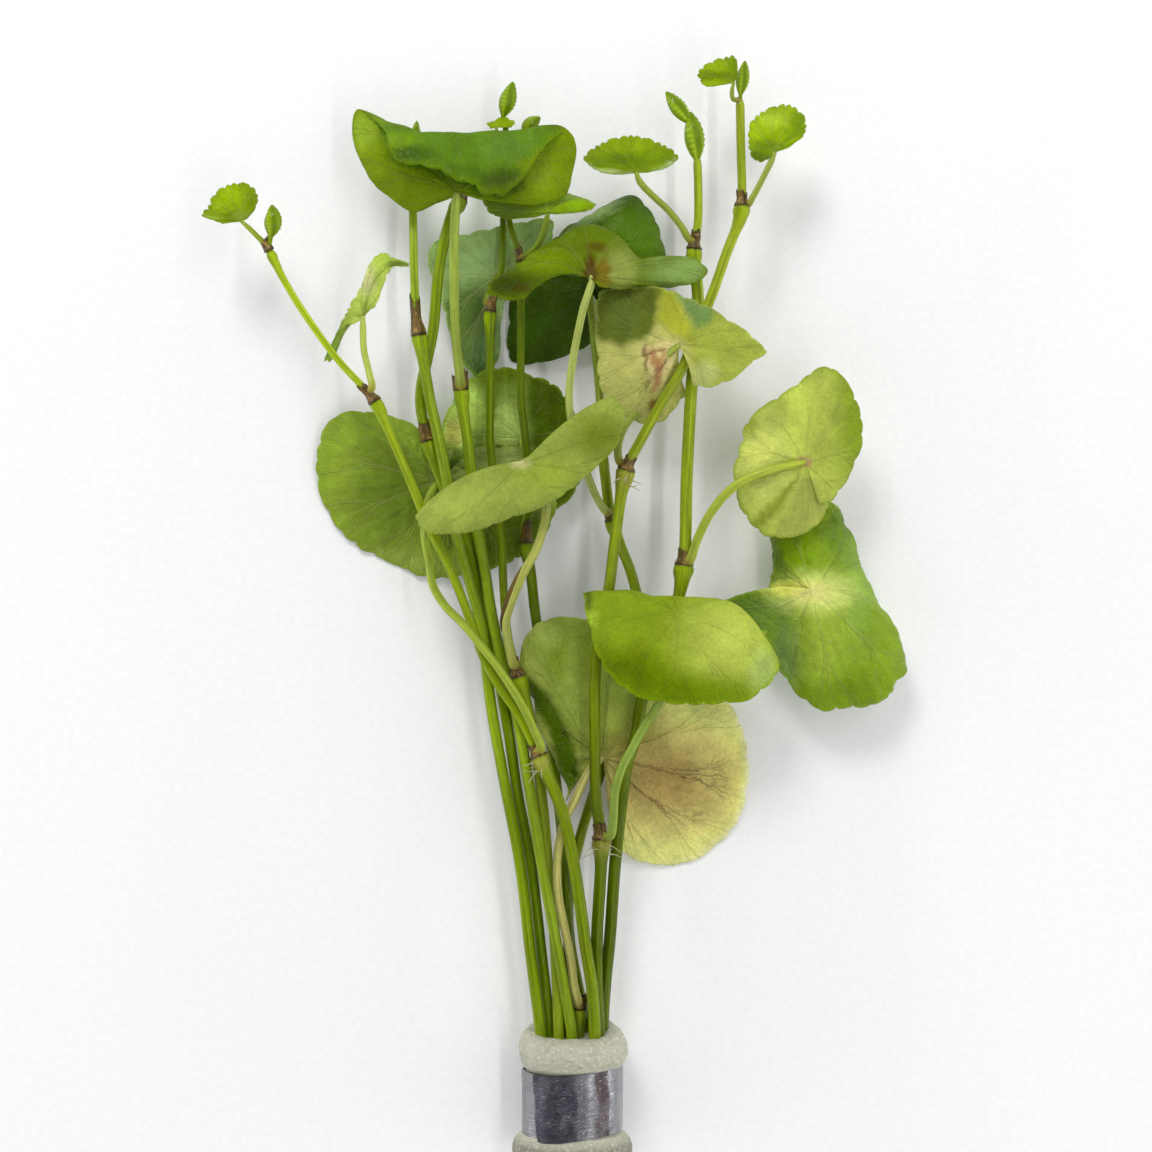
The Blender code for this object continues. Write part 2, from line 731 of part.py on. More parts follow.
def tube(name, points, radii, level, group):
    """Round solid along the points, with closed ends."""
    data = bpy.data.curves.new(name + "_line", "CURVE")
    data.dimensions = "3D"
    data.bevel_depth = MM
    data.bevel_resolution = level
    data.use_fill_caps = True
    data.twist_mode = "MINIMUM"
    line = data.splines.new("POLY")
    line.points.add(len(points) - 1)
    for spot, point, radius in zip(line.points, shifted(points), radii):
        spot.co = (point[0], point[1], point[2], 1.0)
        spot.radius = radius
    curve = bpy.data.objects.new(name + "_line", data)
    bpy.context.scene.collection.objects.link(curve)
    bpy.context.view_layer.update()
    graph = bpy.context.evaluated_depsgraph_get()
    mesh = bpy.data.meshes.new_from_object(curve.evaluated_get(graph))
    mesh.name = name
    bm = bmesh.new()
    bm.from_mesh(mesh)
    bmesh.ops.remove_doubles(bm, verts=bm.verts, dist=0.0001)
    bmesh.ops.recalc_face_normals(bm, faces=bm.faces)
    bm.to_mesh(mesh)
    bm.free()
    obj = bpy.data.objects.new(name, mesh)
    obj.matrix_world = curve.matrix_world.copy()
    bpy.data.objects.remove(curve, do_unlink=True)
    return add(obj, group)


def blade(name, leaf, group):
    """Leaf blade: a disc slit from its rim to the stalk, bent by its spokes."""
    bent = any(half is not None for end, half in leaf["spokes"])
    around, outward = BENT_LEAF_STEPS if bent else FLAT_LEAF_STEPS
    if name in SMALL_LEAVES:
        around, outward = SMALL_LEAF_STEPS
    middle = place(leaf["stalk"][-1])
    rim = np.array([place(end) for end, half in leaf["spokes"]])
    half_way = np.array([
        (middle + place(end)) / 2 + np.array([0.0, 0.0, leaf["crown"]])
        if half is None else place(half)
        for end, half in leaf["spokes"]
    ])
    knots = spaced(rim)
    at = np.linspace(0.0, knots[-1], around + 1)
    rim_line = smooth(rim, knots, at)
    half_line = smooth(half_way, knots, at)
    bm = bmesh.new()
    bmesh.ops.create_grid(bm, x_segments=around, y_segments=outward, size=1.0)
    for vert in bm.verts:
        k = round((vert.co.x + 1.0) / 2.0 * around)
        r = (vert.co.y + 1.0) / 2.0
        spot = (1 - r)**2 * middle + 2 * r * (1 - r) * half_line[k] + r**2 * rim_line[k]
        spot[2] = max(spot[2], BLADE_FLOOR)
        vert.co = Vector(shifted(spot))
    bmesh.ops.remove_doubles(bm, verts=bm.verts, dist=0.0001)
    bmesh.ops.recalc_face_normals(bm, faces=bm.faces)
    mesh = bpy.data.meshes.new(name)
    bm.to_mesh(mesh)
    bm.free()
    obj = bpy.data.objects.new(name, mesh)
    shell = obj.modifiers.new("thickness", "SOLIDIFY")
    shell.thickness = BLADE_THICKNESS * MM
    shell.offset = 0.0
    return baked(add(obj, group))


def baked(obj):
    """The object with its modifiers applied."""
    bpy.context.view_layer.update()
    graph = bpy.context.evaluated_depsgraph_get()
    mesh = bpy.data.meshes.new_from_object(obj.evaluated_get(graph))
    mesh.name = obj.name
    obj.modifiers.clear()
    obj.data = mesh
    return obj


def union(obj, extra):
    """Fuses the extra solid into the object and removes it."""
    join = obj.modifiers.new("join", "BOOLEAN")
    join.operation = "UNION"
    join.solver = "EXACT"
    join.object = extra
    baked(obj)
    bpy.data.objects.remove(extra, do_unlink=True)
    return obj


def settle(obj):
    """Flattens what would dip under the surface."""
    bm = bmesh.new()
    bm.from_mesh(obj.data)
    for vert in bm.verts:
        vert.co.z = max(vert.co.z, 0.0)
    bmesh.ops.recalc_face_normals(bm, faces=bm.faces)
    bm.to_mesh(obj.data)
    bm.free()


def stem_line(stem, count):
    """The stem's middle line, from the cut end through the collar to its tip."""
    route = [place(point) for point in stem["route"]]
    mouth = route[0]
    inside = mouth.copy()
    inside[0] = COLLAR_X + (mouth[0] - COLLAR_X) * SQUEEZE
    inside[2] = HOLE_Z + (mouth[2] - HOLE_Z) * SQUEEZE
    start = inside.copy()
    start[1] = CUT_END_Y
    inside[1] = BAND_Y[1] - 3.0
    return resampled([start, inside] + route, count)


def stem_radii(stem, line):
    """Radius along the stem, swollen at its joints."""
    radii = np.full(len(line), float(stem["radius"]))
    radii[line[:, 1] < BAND_Y[1] + 4.0] *= 0.95
    for joint in stem["joints"]:
        flat = line[:, :2].copy()
        depth = (EYE_HEIGHT + REFERENCE_HEIGHT - line[:, 2]) / EYE_HEIGHT / PLAN_UNITS_PER_MM
        flat[:, 0] -= (joint[0] - PLAN_MIDDLE) * depth
        flat[:, 1] -= (PLAN_MIDDLE - joint[1]) * depth
        away = np.linalg.norm(flat, axis=1)
        radii *= 1.0 + 0.28 * np.exp(-(away / 2.2)**2)
    return radii


def make_stem(name, stem, group):
    rings_along = LONG_STEM_RINGS if len(stem["route"]) > 4 else SHORT_STEM_RINGS
    line = stem_line(stem, rings_along)
    obj = tube(name, line, stem_radii(stem, line), STEM_SIDES_LEVEL, group)
    for bud in stem.get("buds", []):
        points = resampled([place(point) for point in bud], len(BUD_PROFILE))
        radii = [BUD_RADIUS * part for part in BUD_PROFILE]
        union(obj, tube(name + "_bud", points, radii, STALK_SIDES_LEVEL, group))
    settle(obj)
    paint(obj, COLOURS["stem"])


def stalk_points(leaf):
    """The leaf stalk's middle line, from just clear of its stem to the blade."""
    parent = STEMS[leaf["grows_from"]]
    parent_line = stem_line(parent, 400)
    parent_radii = stem_radii(parent, parent_line)
    line = resampled([place(point) for point in leaf["stalk"]], 200)
    gaps = np.linalg.norm(line[:, None, :] - parent_line[None, :, :], axis=2)
    clear = (gaps - parent_radii[None, :]).min(axis=1) > leaf["stalk_radius"] + STALK_GAP
    start = 0 if clear.all() else int(np.flatnonzero(~clear).max()) + 1
    points = resampled(line[start:], 7 if len(leaf["stalk"]) > 4 else 4)
    ending = points[-1] - points[-2]
    points[-1] += ending / np.linalg.norm(ending) * STALK_PUSH
    return points


def make_leaf(name, leaf, group):
    obj = blade(name, leaf, group)
    points = stalk_points(leaf)
    radii = np.full(len(points), leaf["stalk_radius"])
    radii[-1] *= 0.7
    union(obj, tube(name + "_stalk", points, radii, STALK_SIDES_LEVEL, group))
    settle(obj)
    paint(obj, COLOURS["leaf"])


def rings(name, outer, inner, group):
    """Hollow solid between two matching sets of rings along Y."""
    bm = bmesh.new()
    outer_rows = [[bm.verts.new(shifted(p)) for p in ring] for ring in outer]
    inner_rows = [[bm.verts.new(shifted(p)) for p in ring] for ring in inner]
    rows = outer_rows + inner_rows[::-1]
    count = len(rows[0])
    for a in range(len(rows)):
        this = rows[a]
        after = rows[(a + 1) % len(rows)]
        for k in range(count):
            n = (k + 1) % count
            bm.faces.new((this[k], this[n], after[n], after[k]))
    bmesh.ops.recalc_face_normals(bm, faces=bm.faces)
    mesh = bpy.data.meshes.new(name)
    bm.to_mesh(mesh)
    bm.free()
    return add(bpy.data.objects.new(name, mesh), group)


def round_ring(y, radius, sides, lowest):
    """Ring about the collar's axis, flattened where it meets the surface."""
    ring = []
    for k in range(sides):
        turn = 2 * math.pi * (k + 0.5) / sides
        x = COLLAR_X + radius * math.sin(turn)
        z = COLLAR_Z - radius * math.cos(turn)
        ring.append((x, y, max(z, lowest)))
    return ring


def hole_ring(y, sides, grow=0.0):
    """Rounded, nearly rectangular ring of the collar's hole."""
    ring = []
    for k in range(sides):
        turn = 2 * math.pi * (k + 0.5) / sides
        s = math.sin(turn)
        c = -math.cos(turn)
        size = (abs(s)**3 + abs(c)**3)**(-1 / 3)
        ring.append((
            HOLE_X + (HOLE_HALF_WIDTH + grow) * s * size,
            y,
            HOLE_Z + (HOLE_HALF_HEIGHT + grow) * c * size,
        ))
    return ring


def make_holder(group):
    low, high = BAND_Y
    foam_in_band = BAND_RADIUS - BAND_THICKNESS - 0.3
    profile = [
        (CUT_END_Y, 10.2), (CUT_END_Y + 1.0, 10.9), (low - 1.6, 10.7), (low - 0.4, foam_in_band),
        (high + 0.4, foam_in_band), (high + 1.4, 9.4), (high + 4.2, 9.9), (high + 6.0, 8.9),
    ]
    outer = [round_ring(y, radius, BAND_SIDES, 0.0) for y, radius in profile]
    inner = [hole_ring(CUT_END_Y, BAND_SIDES), hole_ring(high + 6.0, BAND_SIDES, 0.4)]
    paint(rings("foam_collar", outer, inner, group), COLOURS["foam"])
    outer = [round_ring(y, BAND_RADIUS, BAND_SIDES, 0.0) for y in (low, high)]
    inner_radius = BAND_RADIUS - BAND_THICKNESS
    inner = [round_ring(y, inner_radius, BAND_SIDES, BAND_THICKNESS) for y in (low, high)]
    paint(rings("lead_band", outer, inner, group), COLOURS["lead"])


def main():
    clear_scene()
    group = bpy.data.collections.new("brazilian_pennywort")
    bpy.context.scene.collection.children.link(group)
    for name, stem in STEMS.items():
        make_stem(name, stem, group)
    for name, leaf in LEAVES.items():
        make_leaf(name, leaf, group)
    make_holder(group)
    bpy.context.view_layer.update()


main()
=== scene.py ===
"""Looks of a bunch of cut pennywort stems in a foam collar with a lead band.

Plan points are given as the bunch is seen from straight above: x to the right,
y down, and a height in millimetres. Lengths are in millimetres unless said.
"""
import math

import bpy
import numpy as np
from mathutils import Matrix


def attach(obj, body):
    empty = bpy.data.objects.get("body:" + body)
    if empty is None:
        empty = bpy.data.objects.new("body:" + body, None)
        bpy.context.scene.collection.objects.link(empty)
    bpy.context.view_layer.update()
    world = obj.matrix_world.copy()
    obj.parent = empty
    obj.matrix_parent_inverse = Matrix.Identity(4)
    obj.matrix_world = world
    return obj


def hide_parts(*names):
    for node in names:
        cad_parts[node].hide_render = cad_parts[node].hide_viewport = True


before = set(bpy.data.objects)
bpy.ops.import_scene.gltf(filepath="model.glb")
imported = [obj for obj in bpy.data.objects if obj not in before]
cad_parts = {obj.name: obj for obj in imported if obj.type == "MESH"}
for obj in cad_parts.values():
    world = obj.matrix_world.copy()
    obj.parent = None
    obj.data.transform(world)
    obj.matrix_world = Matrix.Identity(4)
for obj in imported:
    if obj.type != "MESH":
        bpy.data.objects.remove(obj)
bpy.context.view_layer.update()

MM = 0.001

# The plan view: units in a millimetre at the reference height, the middle of
# the view, and the eye's height above the reference height.
PLAN_UNITS_PER_MM = 5.5
PLAN_MIDDLE = 576.0
PLAN_WIDTH = 1152.0
REFERENCE_HEIGHT = 10.0
EYE_HEIGHT = 450.0
ORIGIN_SHIFT = (3.375, 6.455)

BLADE_THICKNESS = 0.36
RIM_THICKNESS = 0.2
CLEAR_OF_SURFACE = 0.03

# Steps around and outward on a blade, and sides and steps along a round piece.
BIG_BLADE_STEPS = (208, 52)
SMALL_BLADE_STEPS = (224, 22)
STEM_SIDES = 22
STEM_STEP = 0.55
STALK_SIDES = 14
STALK_STEP = 0.6
SMALL_LEAVES = (
    "leaf_far_left", "leaf_under_edge", "leaf_curled", "leaf_top_inner",
    "leaf_top_tip", "leaf_top_outer", "leaf_top_centre",
)

# A closed bud's half width from its foot to its tip, and for each bud the share
# of its length that is a thin stalk and how wide it is.
BUD_PROFILE = (0.42, 0.95, 1.28, 1.42, 1.36, 1.12, 0.75, 0.2)
BUD_SHAPES = {
    "stem_left_tip": [(0.0, 0.5)],
    "stem_centre_tip": [(0.22, 0.95)],
    "stem_centre_right": [(0.2, 0.85)],
    "stem_top_right": [(0.15, 0.74)],
    "stem_right": [(0.0, 1.12), (0.1, 0.9)],
    "stem_crossing": [(0.33, 0.98)],
}

# The collar and its band.
COLLAR_X = -0.6
COLLAR_Z = 9.3
CUT_END_Y = -106.5
SQUEEZE = 0.92
BAND_Y = (-101.0, -89.0)
BAND_RADIUS = 9.5
BAND_THICKNESS = 0.8
HOLE_HALF_WIDTH = 6.9
HOLE_HALF_HEIGHT = 5.0
HOLE_X = -0.8
HOLE_Z = 9.9


def srgb(red, green, blue):
    """Linear colour from the 0 to 255 values that a screen shows."""
    parts = [c / 255 for c in (red, green, blue)]
    return np.array([
        c / 12.92 if c <= 0.04045 else ((c + 0.055) / 1.055) ** 2.4 for c in parts
    ])


STEMS = {
    "stem_left_tip": {
        "radius": 1,
        "joints": [(419, 336, 0.4, 7, 0)],
        "route": [
            (541, 1040, 11), (530, 950, 11), (520, 865, 11), (504, 780, 11), (492, 712, 10.8),
            (486, 665, 10), (482, 630, 9.8), (470, 583, 10), (457, 535, 10.5), (447, 482, 11),
            (438, 436, 11.5), (430, 400, 12), (424, 365, 12.3), (419, 336, 12.5),
            (416, 315, 12.7), (414, 270, 12.6), (413, 215, 10.5), (413, 170, 5.5),
            (415, 138, 6.5),
        ],
        "buds": [
            [(415, 142, 6.4), (416, 133, 7), (416, 128, 7.2), (417, 121, 7.2)],
        ],
    },
    "stem_top_left": {
        "radius": 1,
        "joints": [(428, 440, 0.45, 3.2, 0), (459, 202, 0.45, 3.2, 0)],
        "route": [
            (551, 1040, 9), (541, 950, 9.2), (531, 865, 9.5), (517, 790, 9.5), (509, 735, 9.2),
            (501, 690, 8.2), (494, 650, 7.8), (487, 610, 7.8), (478, 577, 8), (465, 535, 8.4),
            (449, 500, 8.5), (438, 472, 8.5), (428, 440, 8.8), (421, 410, 9.2), (421, 388, 9.3),
            (427, 360, 9.5), (433, 330, 10), (438, 276, 11.2), (443, 246, 11.5), (451, 218, 11),
            (459, 202, 9.5), (470, 172, 5.2), (486, 149, 5.3),
        ],
    },
    "stem_edge_leaf": {
        "radius": 1,
        "joints": [(461, 390, 0.4, 3, 0)],
        "route": [
            (572, 1038, 11.9), (562, 975, 12.9), (554, 930, 13.4), (542, 865, 13.5),
            (528, 780, 13), (518, 722, 10.8), (507, 680, 9.6), (499, 648, 10.2),
            (491, 610, 10.4), (485, 571, 10.3), (479, 538, 10.6), (474, 505, 10.9),
            (471, 474, 11.1), (467, 436, 11.5), (463, 411, 11.8), (461, 390, 12),
        ],
    },
    "stem_centre_tip": {
        "radius": 1,
        "joints": [(518, 676, 0.5, 4, 0), (490, 312, 0.4, 4.6, 0)],
        "route": [
            (559, 1040, 11.2), (555, 940, 10.6), (549, 880, 9.9), (544, 820, 9.8),
            (539, 775, 9.9), (533, 735, 9.8), (526, 702, 10.5), (518, 676, 11.6),
            (509, 642, 11.6), (505, 610, 11.2), (503, 577, 10.8), (502, 545, 10.5),
            (499, 510, 10.2), (493, 470, 10.2), (490, 440, 10.4), (490, 400, 10.5),
            (490, 350, 10.8), (490, 312, 11), (495, 292, 10.9), (501, 271, 10.4), (503, 230, 9),
            (503, 200, 7.1), (503, 165, 5.8), (505, 140, 6.5), (506, 122, 8),
        ],
        "buds": [
            [(501, 126, 8), (503, 117, 8.6), (508, 99, 9), (513, 82, 9)],
        ],
    },
    "stem_centre_right": {
        "radius": 0.95,
        "joints": [(526, 543, 0.35, 3.4, 0), (521, 262, 0.4, 2.4, 0)],
        "route": [
            (566, 1035, 8.7), (568, 950, 8.4), (566, 900, 7.9), (563, 850, 6.6), (557, 790, 5.2),
            (549, 730, 4.6), (541, 670, 4.6), (537, 627, 5.2), (534, 604, 6.8), (531, 575, 8.6),
            (526, 543, 9.2), (530, 505, 9.3), (529, 480, 9.4), (525, 436, 10), (521, 401, 10.5),
            (521, 340, 11), (521, 302, 11.4), (521, 262, 12), (517, 246, 12.3), (510, 225, 11.8),
            (509, 200, 9.9), (513, 180, 7.6), (517, 160, 6), (527, 136, 6.6),
        ],
        "buds": [
            [(527, 140, 6.6), (526, 131, 6.8), (531, 124, 7), (540, 117, 7.4)],
        ],
    },
    "stem_wave_leaf": {
        "radius": 0.95,
        "joints": [(612, 522, 0.4, 1.6, 0)],
        "route": [
            (588, 1035, 6.6), (578, 985, 6.4), (570, 940, 6), (569, 895, 5.8), (579, 842, 5.6),
            (589, 808, 5), (604, 762, 4.2), (620, 712, 3.8), (632, 668, 3.3), (637, 632, 3.4),
            (638, 604, 5.4), (631, 573, 8.2), (612, 522, 9.5), (605, 475, 9), (602, 445, 8.6),
            (600, 410, 8.2),
        ],
    },
    "stem_top_right": {
        "radius": 1.1,
        "joints": [(601, 838, 0.5, 2.8, 16), (627, 469, 0.7, 2.7, 14), (741, 206, 0.62, 2.9, 0)],
        "route": [
            (599, 1042, 10.7), (597, 985, 10.7), (597, 936, 10.8), (601, 865, 11.1),
            (601, 838, 11.5), (596, 800, 12), (595, 740, 12.6), (597, 650, 13.6), (609, 588, 14),
            (616, 532, 14.3), (627, 468, 15), (641, 440, 15.4), (661, 404, 15.6),
            (683, 367, 15.2), (694, 335, 15.2), (710, 300, 15), (727, 252, 14.2),
            (741, 214, 13.6), (742, 190, 13.4), (741, 150, 13.2), (740, 97, 13),
        ],
        "buds": [
            [(740, 101, 13), (741, 90, 13.4), (743, 76, 13.6), (745, 61, 13.4)],
        ],
    },
    "stem_right": {
        "radius": 1.113,
        "joints": [(683, 566, 0.6, 3, 0), (694, 250, 0.3, 3.3, 0)],
        "route": [
            (602, 1038, 8.2), (605, 987, 8.3), (610, 936, 8.6), (615, 865, 9), (622, 801, 9.6),
            (627, 765, 10), (636, 736, 10.4), (642, 700, 11), (655, 655, 12), (672, 620, 13),
            (683, 573, 14), (687, 470, 14), (692, 380, 13), (698, 300, 12.4), (694, 252, 12.6),
            (698, 222, 12.7), (698, 180, 12.9), (697, 155, 13),
        ],
        "buds": [
            [(697, 160, 13), (695, 144, 13.4), (693, 128, 13.8), (690, 112, 13.4)],
            [(692, 126, 13.6), (685, 117, 13.8), (676, 105, 14), (666, 92, 13.8)],
        ],
    },
    "stem_crossing": {
        "radius": 1.1,
        "joints": [(539, 757, 0.5, 2.4, 10), (374, 402, 0.45, 3.4, 0), (269, 251, 0.45, 2.2, 0)],
        "route": [
            (595, 1046, 13.3), (592, 988, 13.4), (586, 949, 13.5), (581, 911, 13.6),
            (574, 865, 13.8), (565, 822, 14), (558, 800, 14.1), (548, 777, 14.2),
            (539, 757, 14.2), (519, 716, 13.7), (499, 686, 13.6), (483, 656, 13.2),
            (473, 628, 13.3), (458, 588, 13.5), (446, 561, 13.8), (428, 525, 14.2),
            (410, 480, 14.6), (395, 445, 15), (374, 400, 15.5), (362, 386, 15.7), (338, 360, 16),
            (304, 313, 16.6), (285, 282, 17), (268, 248, 17.4),
        ],
        "buds": [
            [(268, 252, 17.4), (270, 240, 17.7), (272, 230, 18), (273, 218, 18.2), (272, 205, 18)],
        ],
    },
    "stem_short": {
        "radius": 1,
        "joints": [(579, 1008, 0.4, 2.4, 0)],
        "route": [(579, 1035, 8.6), (579, 1008, 9.2)],
    },
}

